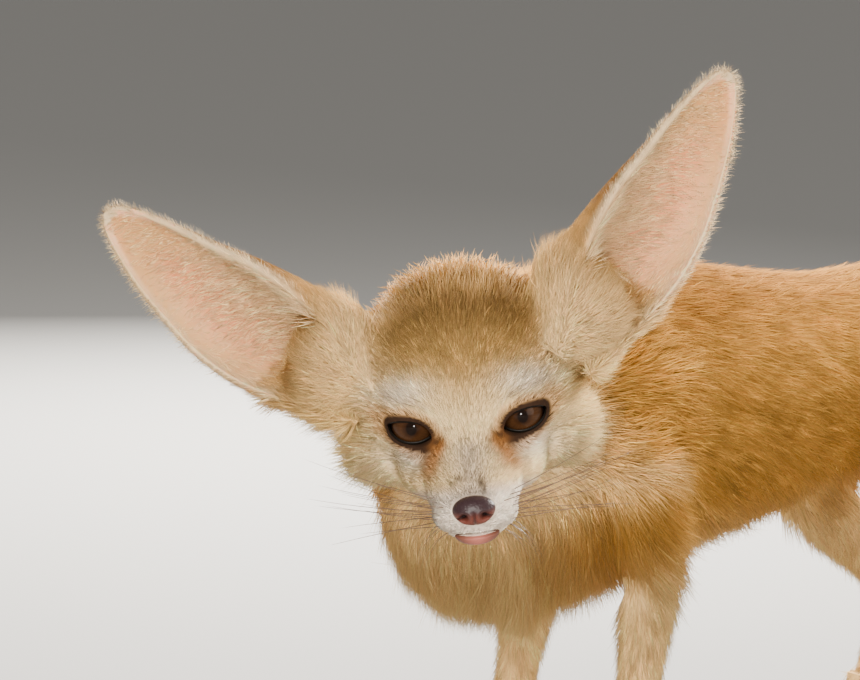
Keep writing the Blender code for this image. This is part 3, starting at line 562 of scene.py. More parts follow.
def markings_and_painted_shade(points, out):
    """The coat's colour at each place, from where it lies on the body and head, with painted shade in the fold above
    each eye and just above the nose.
    """
    y, z = points[:, 1], points[:, 2]
    colour = np.broadcast_to(SANDY, points.shape).copy()
    colour = towards(colour, BACK_BROWN, ramp(z, 166, 200) * ramp(y, -150, -95) * 0.85)
    colour = towards(colour, CREAM, ramp(-y, 100, 138) * ramp(-z, -178, -130) * 0.75)
    colour = towards(colour, CREAM, ramp(-z, -126, -92))
    tail = ramp(y, 112, 130)
    colour = towards(colour, BACK_BROWN, tail * (0.35 + 0.45 * ramp(z, 60, 150)))
    colour = towards(colour, TAIL_BLACK, ramp(y, 212, 228))
    h = in_head(points)
    u, v = np.abs(h[:, 0]), 0.94 * h[:, 2] + 0.34 * h[:, 1]
    face = np.broadcast_to(CHEEK_CREAM, points.shape).copy()
    face = towards(face, CHEEK_GOLD, ramp(u, 26, 40) * np.exp(-(((v - 4) / 14) ** 2)) * 0.7)
    face = towards(face, FOREHEAD, ramp(v - 0.3 * u, -5, 20) * ramp(-u, -44, -18))
    face = towards(face, CROWN, ramp(v - 0.2 * u, 16, 36) * ramp(-u, -36, -14) * 0.85)
    face = towards(face, SANDY, ramp(h[:, 1] + 0.3 * (-6 - v).clip(0, 20), 27, 38))
    face = towards(face, EYE_WHITE, spot(u, v, (21.5, 11.5), (9, 4.2)) * 0.85)
    face = towards(face, EYE_WHITE, spot(u, v, (19.5, -9), (8.5, 5.5)) * 0.9)
    face = towards(face, CREAM, ramp(-v, 17, 26) * 0.8)
    face = towards(face, MUZZLE_WHITE, ramp(-v, 19, 25) * ramp(-h[:, 1], -8, 6))
    face = towards(face, BRIDGE_GREY, np.exp(-((u / 6.5) ** 2)) * ramp(-v, 3, 10) * ramp(v, -30, -24) * 0.75)
    down = -7 - v
    stripe = np.exp(-(((u - 9.6 - 0.47 * down) / (2.4 + 0.12 * down.clip(0, 12))) ** 2))
    face = towards(face, RUST, stripe * ramp(down, -3, 0.5) * ramp(-down, -14, -7) * 0.85)
    for x_at, v_at, wide, high, share in (
        (-6.6, -19.6, 0.9, 0.9, 0.8),
        (-4.4, -18.6, 1.2, 0.8, 0.85),
        (-1.6, -17.1, 0.5, 0.5, 0.7),
        (3.0, -20.2, 0.9, 1.6, 0.95),
        (3.9, -22.8, 0.8, 1.6, 0.85),
    ):
        face = towards(face, DARK_BROWN, spot(h[:, 0], v, (x_at, v_at), (wide, high)) * share)
    # Painted shade: a soft dark band just above the nose pad, where the fur meets the leather.
    face = towards(face, DARK_BROWN, spot(u, v, (0, -24.9), (5.8, 1.5)) * 0.55)
    close = eye_distance(h)
    # Painted shade: a thin grey line along the fold above each eye.
    crease = np.exp(-(((close - 2.05) / 0.16) ** 2)) * ramp(v, 2.5, 6) * ramp(-u, -29, -24)
    face = towards(face, BRIDGE_GREY, crease * 0.5)
    face = towards(face, RUST, ramp(-close, -1.75, -1.3) * 0.6)
    face = towards(face, DARK_BROWN, ramp(-close, -1.36, -1.14))
    face = towards(face, RUST, spot(u, v, (10.0, -6.6), (3.0, 2.6)) * 0.7)
    face = towards(face, DARK_BROWN, spot(u, v, (10.6, -5.6), (2.2, 1.3)) * 0.9)
    colour = colour + (face - colour) * on_skull(h)[:, None]
    for _, base, tip, _ in EARS.values():
        root = np.array(base) + 9 * unit(np.subtract(tip, base))
        colour = towards(colour, EAR_ROOT, np.exp(-((np.linalg.norm(h - root, axis=1) / 23) ** 4)) * 0.75)
    for side in EARS:
        here, share, across, inside = ear_place(points, out, side)
        rooted = ramp(-share, -0.45, -0.15)
        back = np.broadcast_to(EAR_BACK, points.shape)
        back = towards(back, EAR_ROOT, rooted * (0.35 + 0.65 * ramp(np.abs(across), 0.4, 0.8)))
        back = towards(back, EAR_RIM, ramp(np.abs(across), 0.9, 1.0) * 0.7 * (1 - rooted))
        back = towards(back, EAR_RIM, ramp(share, 0.6, 1.0) * 0.3 + ramp(across, 0.2, 0.7) * 0.3 * (1 - rooted))
        band = np.exp(-(((across - 0.3 + 0.25 * share) / 0.34) ** 2))
        band = band * ramp(share, 0.08, 0.25) * ramp(-share, -0.86, -0.6)
        cup = towards(np.broadcast_to(EAR_PEACH, points.shape), EAR_GOLD, ramp(share, 0.45, 0.85))
        cup = towards(towards(cup, EAR_GOLD, ramp(-share, -0.3, -0.12) * 0.7), EAR_PINK, band)
        cup = towards(cup, EAR_RIM, ramp(np.abs(across), 0.8, 1.0) * 0.6)
        colour = colour + (back + (cup - back) * inside[:, None] - colour) * here[:, None]
    return np.clip(colour, 0.005, 0.95)


def paint(made, colours, name="Coat Colour"):
    """Stores a colour at each point of a mesh."""
    attribute = made.data.attributes.new(name, "FLOAT_COLOR", "POINT")
    attribute.data.foreach_set("color", np.hstack([colours, np.ones((len(colours), 1))]).astype(np.float32).ravel())


class Shade:
    """A shader socket that can be multiplied: a * b and 2 * a each add a Math node."""

    def __init__(self, tree, socket=None):
        self.tree = tree
        self.socket = socket

    def node(self, kind, settings=(), values=(), output=0):
        """Any node, its settings made first and then the values or links of its sockets."""
        made = self.tree.nodes.new(kind)
        for key, value in dict(settings).items():
            setattr(made, key, value)
        for key, value in dict(values).items():
            if isinstance(value, Shade):
                self.tree.links.new(value.socket, made.inputs[key])
            else:
                made.inputs[key].default_value = value
        return Shade(self.tree, made.outputs[output])

    def __mul__(self, other):
        return self.node("ShaderNodeMath", {"operation": "MULTIPLY"}, {0: self, 1: other})

    __rmul__ = __mul__


def finish(name, constants, glow=None):
    """A new material with one main shader and its fixed values, and the start for its patterns."""
    made = bpy.data.materials.new(name)
    made.use_nodes = True
    tree = made.node_tree
    shader = tree.nodes["Principled BSDF"]
    for key, value in constants.items():
        shader.inputs[key].default_value = value
    if glow:
        share, colour = glow
        through = tree.nodes.new("ShaderNodeBsdfTranslucent")
        through.inputs["Color"].default_value = (*colour, 1)
        mix = tree.nodes.new("ShaderNodeMixShader")
        mix.inputs[0].default_value = share
        tree.links.new(shader.outputs[0], mix.inputs[1])
        tree.links.new(through.outputs[0], mix.inputs[2])
        tree.links.new(mix.outputs[0], tree.nodes["Material Output"].inputs["Surface"])
    return made, shader, Shade(tree)


def link(value, shader, socket):
    """Feeds a pattern to a socket of the main shader."""
    value.tree.links.new(value.socket, shader.inputs[socket])


# The skin is painted at SKIN_SHADE of the coat's colour, darker than the hair over it: a painted shade for the depth
# under the coat, where it shows between the tufts.
SKIN_SHADE = 0.85
points, normals = vertex_arrays(skin)
paint(skin, markings_and_painted_shade(points, normals) * SKIN_SHADE)
skin.data.materials.clear()
for name, constants in (
    ("short fur over skin", {"Roughness": 0.85, "Specular IOR Level": 0.12}),
    ("thin skin inside the ears", {"Roughness": 0.6, "Subsurface Weight": 0.7, "Subsurface Scale": 0.004}),
):
    skin_finish, shader, start = finish(name, constants)
    shader.inputs["Subsurface Radius"].default_value = (1.0, 0.42, 0.22)
    place = start.node("ShaderNodeTexCoord", output=3)
    coat = start.node("ShaderNodeAttribute", {"attribute_name": "Coat Colour"})
    grain = start.node("ShaderNodeTexNoise", {}, {"Vector": place, "Scale": 900.0, "Detail": 4.0, "Roughness": 0.7})
    shades = {0: 0.35 * grain, 6: coat, 7: (0.55, 0.40, 0.30, 1)}
    mottled = start.node("ShaderNodeMix", {"data_type": "RGBA", "blend_type": "MULTIPLY"}, shades, 2)
    link(mottled, shader, "Base Color")
    link(start.node("ShaderNodeBump", {}, {"Strength": 0.5, "Distance": 0.0004, "Height": grain}), shader, "Normal")
    skin.data.materials.append(skin_finish)
corner_points = np.empty(len(skin.data.loops), np.int32)
skin.data.loops.foreach_get("vertex_index", corner_points)
first_corner = np.empty(len(skin.data.polygons), np.int32)
skin.data.polygons.foreach_get("loop_start", first_corner)
face_point = corner_points[first_corner]
in_cup = sum(here * inside for here, _, _, inside in (ear_place(points, normals, side) for side in EARS))
skin.data.polygons.foreach_set("material_index", (in_cup[face_point] > 0.5).astype(np.int32))
bpy.context.view_layer.objects.active = skin
skin.select_set(True)
bpy.ops.object.mode_set(mode="EDIT")
bpy.ops.mesh.select_all(action="SELECT")
bpy.ops.uv.smart_project(angle_limit=math.radians(66), island_margin=0.001)
bpy.ops.object.mode_set(mode="OBJECT")
skin.data.uv_layers.active.name = "OFBake"
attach(skin, "root")
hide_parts(*[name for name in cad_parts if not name.startswith("eye_") and name != "nose"])

# The eyes: dark amber, set deep behind the lids, each a ball with a bulging clear front over the iris.
IRIS_TURN, PUPIL_TURN = 60, 14
IRIS, IRIS_LIGHT = np.array((0.022, 0.009, 0.004)), np.array((0.050, 0.021, 0.008))
EYE_BLACK = (0.006, 0.003, 0.002)
WET_FRONT = {"Specular IOR Level": 0.0, "Coat Weight": 0.5, "Coat Roughness": 0.01, "Coat IOR": 1.33}
RIM_BLACK = (0.004, 0.003, 0.002, 1)


def eyeball(sign, rings=90, sides=128):
    """A ball about the line of sight, radius x (1 + 0.08 exp(-(turn / 36 degrees)^2)), and its colours."""
    centre, sight, _, _ = gaze(sign)
    axis = unit(sight * 0.985 + np.array([-0.10 * sign, 0, 0.16]))
    side = unit(np.cross([0, 0, 1.0], axis))
    over = np.cross(axis, side)
    turn = np.linspace(0, math.pi, rings + 2)[1:-1, None]
    angle = np.linspace(0, 2 * math.pi, sides, endpoint=False)[None]
    radius = EYE_RADIUS * (1 + 0.08 * np.exp(-((np.degrees(turn) / 36) ** 2)))
    level = np.cos(turn) * np.ones_like(angle)
    ball = radius[..., None] * (
        level[..., None] * axis
        + (np.sin(turn) * np.cos(angle))[..., None] * side
        + (np.sin(turn) * np.sin(angle))[..., None] * over
    )
    ball = np.vstack([ball.reshape(-1, 3), axis * EYE_RADIUS * 1.08, -axis * EYE_RADIUS])
    tilt = np.degrees(turn) * np.ones_like(angle)
    fibres = 0.5 + 0.5 * np.sin(angle * 41 + 2.2 * np.sin(angle * 7) + 1.3 * np.sin(angle * 17)) * np.ones_like(turn)
    # The iris is painted lighter towards its lower half and darker towards the top, a painted shade under the upper
    # lid.
    low = 0.5 - 0.5 * np.sin(angle) * np.ones_like(turn)
    light = (0.25 + 0.35 * fibres + 0.4 * low) * ramp(tilt, PUPIL_TURN, 26) * ramp(-tilt, -IRIS_TURN + 2, -34)
    colours = (IRIS + (IRIS_LIGHT - IRIS) * light[..., None]).reshape(-1, 3)
    oval = tilt * (1 + 0.22 * np.cos(angle) ** 2)
    dark = np.maximum(ramp(-oval, -PUPIL_TURN - 2.5, -PUPIL_TURN + 1.5), ramp(tilt, IRIS_TURN - 7, IRIS_TURN))
    colours = towards(colours, EYE_BLACK, dark.ravel())
    return facing_out((centre + ball, sleeve_faces(rings, sides))), np.vstack([colours, EYE_BLACK, EYE_BLACK])


eye_finish, shader, start = finish("wet eye", {"Roughness": 0.6, **WET_FRONT})
link(start.node("ShaderNodeAttribute", {"attribute_name": "Eye Colour"}), shader, "Base Color")
rim_look = {"Roughness": 0.35, "Specular IOR Level": 0.12, "Base Color": RIM_BLACK}
rim_finish, shader, start = finish("bare lid rim", rim_look)
crease = start.node("ShaderNodeTexNoise", {}, {"Vector": start.node("ShaderNodeTexCoord", output=3), "Scale": 1500.0})
link(start.node("ShaderNodeBump", {}, {"Strength": 0.35, "Distance": 0.0002, "Height": crease}), shader, "Normal")


def tube(path, across, over, half_wide, half_thick, sides):
    """Closed tubes along many paths at once: place + half width x cos(angle) across + half thickness x
    sin(angle) over at every place but the last, which is the point that closes the tube."""
    count, long = path.shape[:2]
    angle = np.linspace(0, 2 * math.pi, sides, endpoint=False) + math.pi / 2
    wide = (half_wide[:, : long - 1, None] * np.cos(angle))[..., None] * across[:, None, None]
    thick = (half_thick[:, : long - 1, None] * np.sin(angle))[..., None] * over[:, None, None]
    rings = (path[:, : long - 1, None] + wide + thick).reshape(count, -1, 3)
    verts = np.concatenate([rings, path[:, -1:]], 1)
    at = np.arange((long - 1) * sides).reshape(long - 1, sides)
    after = np.roll(at, -1, axis=1)
    quads = np.stack([at[:-1], after[:-1], after[1:], at[1:]], -1).reshape(-1, 4)
    fan = np.stack([np.full(sides - 2, at[0, 0]), at[0, 2:], at[0, 1:-1]], 1)
    tip = np.stack([at[-1], after[-1], np.full(sides, (long - 1) * sides)], 1)
    faces = np.vstack([quads[:, [0, 1, 2]], quads[:, [0, 2, 3]], fan, tip])
    per = verts.shape[1]
    return verts.reshape(-1, 3), (np.arange(count)[:, None, None] * per + faces).reshape(-1, 3)


def lid_rim(sign, count=96, sides=12):
    """A thin roll round the lids' opening, laid on the ball of the lids: place + sqrt(R^2 - a^2 - b^2) sight."""
    centre, sight, _, _ = gaze(sign)
    rim, _ = lid_line(sign, count, 0.15)
    off = rim - centre
    deep = np.sqrt(np.maximum((EYE_RADIUS + 0.7) ** 2 - (off**2).sum(1), 4.0))
    path = rim + deep[:, None] * sight
    ahead = unit(np.roll(path, -1, axis=0) - np.roll(path, 1, axis=0))
    out = unit(path - centre)
    side = np.cross(ahead, out)
    t = np.linspace(0, 2 * math.pi, count, endpoint=False)
    thick = (0.85 + 0.35 * np.clip(-np.sin(t), 0, 1) + 0.4 * np.clip(-np.cos(t), 0, 1) ** 3)[:, None, None]
    angle = np.linspace(0, 2 * math.pi, sides, endpoint=False)[:, None]
    ring = path[:, None] + thick * (np.cos(angle) * side[:, None] * 1.15 + np.sin(angle) * out[:, None] * 0.42)
    at = np.arange(count * sides).reshape(count, sides)
    after, beyond = np.roll(at, -1, axis=1), np.roll(at, -1, axis=0)
    quads = np.stack([at, after, np.roll(beyond, -1, axis=1), beyond], -1).reshape(-1, 4)
    return facing_out((ring.reshape(-1, 3), quads))


for side, sign in (("left", 1), ("right", -1)):
    form, colours = eyeball(sign)
    eye = mesh_object(f"eyeball_{side}", on_head(form))
    paint(eye, colours, "Eye Colour")
    eye.data.materials.append(eye_finish)
    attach(eye, "root")
    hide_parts(f"eye_{side}")
    rim = mesh_object(f"lid_rim_{side}", on_head(lid_rim(sign)))
    rim.data.materials.append(rim_finish)
    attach(rim, "root")

# The nose: a bare leathery pad with a nostril and its slit on each side of a groove, plum black above and
# burgundy below, and the pink lower lip that shows under it.
NOSE_AT, NOSE_SIZE = (0, -40.5, -16), (7.2, 5.2, 4.9)
PLUM, BURGUNDY = (0.022, 0.009, 0.011), (0.11, 0.026, 0.016)
LIP_PINK, LIP_BROWN = (0.34, 0.105, 0.078), (0.09, 0.034, 0.02)
MOIST = {"Roughness": 0.45, "Specular IOR Level": 0.28, "Coat Weight": 0.05, "Coat Roughness": 0.25}
LIP_AT, LIP_SIZE = (0, -37.4, -26.0), (7.5, 3.8, 3.3)


def nose_leather(rings=110, sides=150):
    """An ellipsoid, wider above, whose front sinks by sums of depth x exp(-(distance / width)^2)."""
    ball, faces = egg((0, 0, 0), NOSE_SIZE, rings, sides)
    x, y, z = ball.T.copy()
    x = x * (1 + 0.10 * z / NOSE_SIZE[2])
    u, front = np.abs(x), ramp(-y, 0.5, 2.5)
    pit = np.exp(-(((u - 3.3) / 1.25) ** 2) - ((z + 0.9) / 1.15) ** 2)
    slit = np.exp(-(((u - 5.4) / 1.6) ** 2) - ((z + 1.5 + 0.25 * (u - 5)) / 0.6) ** 2)
    brim = np.exp(-(((np.hypot(u - 3.3, z + 0.9) - 2.5) / 0.7) ** 2))
    groove = np.exp(-((x / 0.45) ** 2)) * ramp(-z, -2.2, 0.5)
    y = y + front * (3.0 * pit + 1.5 * slit - 0.35 * brim + 0.7 * groove)
    shade = towards(np.broadcast_to(BURGUNDY, ball.shape), PLUM, ramp(z, -1.2, 1.8))
    # The nostril pits and their slits are painted near black and the middle groove darker: painted shade in these
    # hollows.
    shade = towards(shade, (0.01, 0.004, 0.004), front * (pit + 0.8 * slit).clip(0, 1) ** 1.5)
    return (np.stack([x, y, z], 1) + NOSE_AT, faces), towards(shade, (0.02, 0.01, 0.01), front * groove * 0.6)


def lower_lip(rings=40, sides=90):
    """The lower half of an ellipsoid, its top flat and a little hollow."""
    ball, faces = egg((0, 0, 0), LIP_SIZE, rings, sides)
    x, y, z = ball.T.copy()
    z = np.where(z > 0, 0.22 * z, z) + 0.5 * (x / LIP_SIZE[0]) ** 2
    pink = np.exp(-((x / 4.2) ** 2))
    return (np.stack([x, y, z], 1) + LIP_AT, faces), towards(np.broadcast_to(LIP_BROWN, ball.shape), LIP_PINK, pink)


leather_finish, shader, start = finish("nose leather", MOIST)
link(start.node("ShaderNodeAttribute", {"attribute_name": "Nose Colour"}), shader, "Base Color")
cells = {"Vector": start.node("ShaderNodeTexCoord", output=3), "Scale": 1300.0, "Smoothness": 0.4}
pebbles = start.node("ShaderNodeTexVoronoi", {"feature": "SMOOTH_F1"}, cells)
pebbled = {"Strength": 0.45, "Distance": 0.0003, "Height": pebbles}
link(start.node("ShaderNodeBump", {"invert": True}, pebbled), shader, "Normal")
for name, (form, colours) in (("nose_leather", nose_leather()), ("lower_lip", lower_lip())):
    made = mesh_object(name, on_head(form))
    paint(made, colours, "Nose Colour")
    made.data.materials.append(leather_finish)
    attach(made, "root")
    if name == "nose_leather":
        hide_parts("nose")

# The coat: thin tufts of hair over the skin, in lengths and lies that follow the body. Each tuft is a flat
# three-sided blade that rises, bends over along the lie and ends in a point. In the unwrap it is one small
# patch, TUFT_PATCH across, at its root's place on the skin.
TUFT_PATCH, CLEAR_OF_FLOOR = 0.003, 0.3
rng = np.random.default_rng(41)
skin.data.calc_loop_triangles()
triangles = np.empty(len(skin.data.loop_triangles) * 3, np.int32)
skin.data.loop_triangles.foreach_get("vertices", triangles)
triangles = triangles.reshape(-1, 3)
corners = np.empty(len(triangles) * 3, np.int32)
skin.data.loop_triangles.foreach_get("loops", corners)
unwrap = np.empty(len(skin.data.loops) * 2, np.float32)
skin.data.uv_layers["OFBake"].data.foreach_get("uv", unwrap)
triangle_uv = unwrap.reshape(-1, 2)[corners.reshape(-1, 3)]
middles, tilts = points[triangles].mean(1), unit(normals[triangles].mean(1))
edges = points[triangles[:, 1:]] - points[triangles[:, :1]]
areas = np.linalg.norm(np.cross(edges[:, 0], edges[:, 1]), axis=1) / 2
TAIL_PATH = curve_through(TAIL, 80)[:, :3]
TAIL_ALONG = unit(np.gradient(TAIL_PATH, axis=0))


def bare(at, out):
    """1 where no hair grows: eyes and sockets, nose, lips, the slit of the mouth and under the paws."""
    h = in_head(at)
    socket = np.minimum(*(np.linalg.norm(h - gaze(sign)[0], axis=1) for sign in (1, -1))) < EYE_RADIUS + 1.1
    nose = np.linalg.norm((h - NOSE_AT) / (7.5, 5.6, 5.2), axis=1) < 1
    lip = np.linalg.norm((h - LIP_AT) / (7.4, 4.2, 3.1), axis=1) < 1
    above_slit = h[:, 2] - np.interp(h[:, 1], *np.array(MOUTH_LINE).T) + 0.4
    slit = (h[:, 1] < -12) & (np.abs(h[:, 0]) < 16) & (np.abs(above_slit) < 0.42)
    return (eye_distance(h) < 1.13) | socket | nose | lip | slit | ((at[:, 2] < 2) & (out[:, 2] < -0.5))


def regions(at, out):
    """Shares of head, ear back, ear cup, tail and leg at each place; what is left is trunk and neck."""
    cup, back = np.zeros(len(at)), np.zeros(len(at))
    for side in EARS:
        here, _, _, inside = ear_place(at, out, side)
        cup, back = cup + here * inside, back + here * (1 - inside)
    head_share = on_skull(in_head(at)) * (1 - cup - back).clip(0, 1)
    tail = ramp(at[:, 1], 112, 122)
    leg = ramp(-at[:, 2], -100, -84) * (1 - tail)
    return {"head": head_share, "back": back, "cup": cup, "tail": tail, "leg": leg}


def lie(at, out, part):
    """The way the hair lies: away from the nose and round the eyes on the head, tipwards on ears and tail,
    back and down on the trunk, down the bib and legs, and forwards over the toes."""
    x, y, z = at.T
    front, low = ramp(-y, 84, 128), ramp(-z, -150, -105)
    body_way = np.stack([0.15 * np.sign(x) * front, 1 - 0.85 * front - 0.3 * low, -0.4 - 0.75 * front - 0.5 * low], 1)
    ahead = ramp(-z, -24, -12)
    leg_way = np.stack([0 * z, 0.15 - 1.1 * ahead, -1 + 0.6 * ahead], 1)
    h = in_head(at)
    head_way = unit(h - np.array([0, -47.0, -21]))
    head_way[:, 2] -= 0.5 * ramp(-h[:, 2], -2, 18) * ramp(h[:, 1], -20, 10)
    head_way[:, 0] += 0.2 * np.sign(h[:, 0]) * ramp(np.abs(h[:, 0]), 2, 14)
    for sign in (1, -1):
        centre, _, outer, rise = gaze(sign)
        off = h - centre
        round_eye = np.exp(-((np.clip(np.hypot((off @ outer) / 7.8, (off @ rise) / 5.5) - 1, 0, 9) / 0.9) ** 2))
        inwards = np.clip(-np.einsum("ij,ij->i", unit(off), head_way), 0, 1)
        head_way += (round_eye * inwards * 1.3)[:, None] * unit(off)
    way = body_way + (leg_way - body_way) * part["leg"][:, None]
    way = way + (unit(head_way) @ HEAD_TURNED.T - way) * part["head"][:, None]
    for side in EARS:
        here, share, across, inside = ear_place(at, out, side)
        _, axis, _, outward, _ = ear_frame(side)
        along = axis + (0.9 * across.clip(-1, 1) ** 3)[:, None] * outward
        sweep = axis * (0.75 - 0.2 * across[:, None]) + outward * (0.75 + 0.25 * share[:, None])
        ear_way = unit(along + (sweep - along) * inside[:, None]) @ HEAD_TURNED.T
        way = way + (ear_way - way) * here[:, None]
    near = np.flatnonzero(part["tail"] > 0)
    if len(near):
        step = np.argmin(((at[near][:, None] - TAIL_PATH[None]) ** 2).sum(2), 1)
        way[near] += (TAIL_ALONG[step] - way[near]) * part["tail"][near][:, None]
    return way


def hair_length(at, out, part):
    """The hair's length in millimetres: shortest on muzzle and feet, longest on bib, flanks and tail."""
    h = in_head(at)
    u, v = np.abs(h[:, 0]), 0.94 * h[:, 2] + 0.34 * h[:, 1]
    on_head = 1.7 + 1.5 * ramp(h[:, 1], -38, -14) + 1.2 * ramp(h[:, 1], -10, 4) + 3.0 * ramp(v, 16, 30)
    on_head = on_head + 4.5 * ramp(v, 28, 44) + 4 * ramp(h[:, 1], 26, 44)
    on_head = on_head + (6.0 + 3.0 * (h[:, 0] < 0)) * ramp(u, 23, 36) * ramp(-v, -22, -4)
    body = 15 + 6 * ramp(-at[:, 1], 70, 120) * ramp(-at[:, 2], -190, -150) + 3 * ramp(-at[:, 2], -150, -110)
    body = body + (4.8 + 3 * ramp(at[:, 2], 26, 60) + 3 * ramp(at[:, 2], 60, 90) - body) * part["leg"]
    body = body + (15 + 11 * ramp(at[:, 1], 116, 150) - body) * part["tail"]
    body = body + (on_head - body) * part["head"]
    for side in EARS:
        here, share, across, inside = ear_place(at, out, side)
        back = 3.0 + 3.5 * ramp(-share, -0.35, -0.05) + 0.5 * ramp(np.abs(across), 0.85, 1.0)
        cup = 4.5 + 8 * ramp(-share, -0.75, -0.1) * ramp(-across, -0.6, 0.4)
        body = body + (back + (cup - back) * inside - body) * here
    return body


def hair_rise(at, part):
    """How steeply the hair leaves the skin, in degrees."""
    h = in_head(at)
    v = 0.94 * h[:, 2] + 0.34 * h[:, 1]
    on_head = 15 + 7 * ramp(v, 10, 26) + 20 * ramp(v, 36, 48) + 18 * ramp(np.abs(h[:, 0]), 26, 38)
    rise = 9 + (on_head - 9) * part["head"] + 12 * part["tail"] + 7 * part["leg"]
    rise = rise + (18 - rise) * part["cup"] + (13 - rise) * part["back"]
    return rise


def swirl(at, size):
    """A smooth wandering direction: sums of sines of the place, with waves about one size long."""
    waves = np.random.default_rng(3).normal(size=(3, 5, 3)) * 2 * math.pi / size
    phases = np.arange(15).reshape(3, 5) * 1.7
    return np.stack([np.sin(at @ waves[k].T + phases[k]).sum(1) / 3 for k in range(3)], 1)


HAIR_GLOW = (0.05, (0.85, 0.55, 0.26))
hair_finish, shader, start = finish("hair", {"Roughness": 0.75, "Specular IOR Level": 0.05}, HAIR_GLOW)
link(start.node("ShaderNodeAttribute", {"attribute_name": "Coat Colour"}), shader, "Base Color")


def tufts(name, density, count, width, rings, gather, crowd, shading, slot="fur", tint=None):
    """Tufts as one mesh. Each follows root + length x (cos a along the lie + sin a outwards), where a falls
    from its rise to nearly flat, and its tip leans by gather towards the leader of its crowd."""
    weight = np.cumsum(areas * np.where(bare(middles, tilts), 0, density(middles, middle_parts)))
    pick = (np.arange(count) + rng.random(count)) / count * weight[-1]
    face = np.searchsorted(weight, pick).clip(0, len(areas) - 1)
    a, b = rng.random((2, count))
    over = a + b > 1
    a[over], b[over] = 1 - a[over], 1 - b[over]
    share = np.stack([1 - a - b, a, b], 1)
    at = np.einsum("nk,nkj->nj", share, points[triangles[face]])
    out = unit(np.einsum("nk,nkj->nj", share, normals[triangles[face]]))
    uv = np.einsum("nk,nkj->nj", share, triangle_uv[face])
    part = regions(at, out)
    way = unit(lie(at, out, part)) + 0.16 * rng.normal(size=at.shape) + 0.16 * swirl(at, 26)
    way = unit(way - np.einsum("ij,ij->i", way, out)[:, None] * out)
    long = hair_length(at, out, part) * rng.uniform(0.7, 1.2, count)
    lean = np.radians(hair_rise(at, part)) * rng.uniform(0.6, 1.4, count)
    leaders = rng.permutation(count)[: max(1, count // crowd)]
    tree = kdtree.KDTree(len(leaders))
    for k, leader in enumerate(leaders):
        tree.insert(at[leader], k)
    tree.balance()
    crowd_of = np.array([tree.find(place)[1] for place in at])
    drawn = (at[leaders[crowd_of]] - at) * gather
    drawn -= np.einsum("ij,ij->i", drawn, out)[:, None] * out
    steps = np.arange(rings + 1) / rings
    centre = at - out * np.minimum(0.5, 0.08 * long)[:, None]
    path = [centre]
    for step in steps[1:]:
        angle = lean * (1.15 - 1.2 * (step - 0.5 / rings)) if rings > 1 else lean
        centre = centre + (np.cos(angle)[:, None] * way + np.sin(angle)[:, None] * out) * (long / rings)[:, None]
        path.append(centre + drawn * step**1.5)
    path = np.stack(path, 1)
    path[..., 2] = np.maximum(path[..., 2], CLEAR_OF_FLOOR)
    wide = width * rng.uniform(0.7, 1.3, count)[:, None] * np.interp(steps, [0, 0.4, 1], [0.8, 1.0, 0.4])
    side = np.cross(out, way)
    made = mesh_object(name, tube(path, side, out, wide / 2, wide / 3, 3))
    base = markings_and_painted_shade(at, out)
    if tint:
        base = towards(base, *tint)
    base = base * (1 + 0.13 * rng.normal(size=len(leaders)))[crowd_of][:, None]
    base = base * (1 + 0.14 * rng.normal(size=(count, 1))) * (1 + 0.03 * rng.normal(size=(count, 3)))
    # Each tuft is painted darker at its root, a painted shade for the depth of the coat. It reaches full colour at
    # 0.6 of its length and the second shading value at its tip.
    level = np.concatenate([np.repeat(steps[:-1], 3), [1.0]])
    shade = np.interp(level, [0, 0.6, 1], [shading[0], 1.0, shading[1]])
    paint(made, np.clip(base[:, None] * shade[None, :, None], 0.004, 0.96).reshape(-1, 3))
    patch = np.stack([np.concatenate([np.tile([0.0, -0.5, 0.5], rings), [0.0]]), level - 0.5], 1) * TUFT_PATCH
    corner = np.empty(len(made.data.loops), np.int32)
    made.data.loops.foreach_get("vertex_index", corner)
    layer = made.data.uv_layers.new(name="OFBake")
    layer.data.foreach_set("uv", (uv[:, None] + patch[None]).reshape(-1, 2)[corner].astype(np.float32).ravel())
    made.data.materials.append(hair_finish)
    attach(made, "root")


middle_parts = regions(middles, tilts)


def face_density(at, part):
    """Thickest on the muzzle, none behind the eyes."""
    y = in_head(at)[:, 1]
    return (part["head"] > 0.4) * (1.5 - 0.8 * ramp(y, -36, -6)) * ramp(-y, -24, -10)


def crown_density(at, part):
    """Forehead, crown and the back of the head."""
    h = in_head(at)
    return (part["head"] > 0.2) * ramp(0.94 * h[:, 2] + 0.34 * h[:, 1], 8, 18)


def cheek_density(at, part):
    """Cheeks, temples and throat."""
    h = in_head(at)
    return (part["head"] > 0.2) * ramp(h[:, 1], -2, 10) * ramp(-0.94 * h[:, 2] - 0.34 * h[:, 1], -22, -10)


def neck_density(at, part):
    """Neck, bib and chest."""
    elsewhere = part["cup"] + part["back"] + part["leg"] + part["tail"]
    return (1 - part["head"]) * (elsewhere < 0.5) * ramp(-at[:, 1], 78, 90)


def trunk_density(at, part):
    """Back, flanks, belly, shoulders, thighs and rump."""
    rest = part["cup"] + part["back"] + part["leg"] + part["tail"] + part["head"]
    return (1 - rest).clip(0, 1) * ramp(at[:, 1], -92, -80)


def cup_density(at, part):
    """Long hair inside the ears, thick by the inner edge and sparse on the outer third."""
    total = np.zeros(len(at))
    for side in EARS:
        here, share, across, inside = ear_place(at, tilts, side)
        total += here * inside * (1 - 0.8 * ramp(across, 0.1, 0.6)) * (1.1 - 0.7 * ramp(share, 0.2, 0.9))
    return total


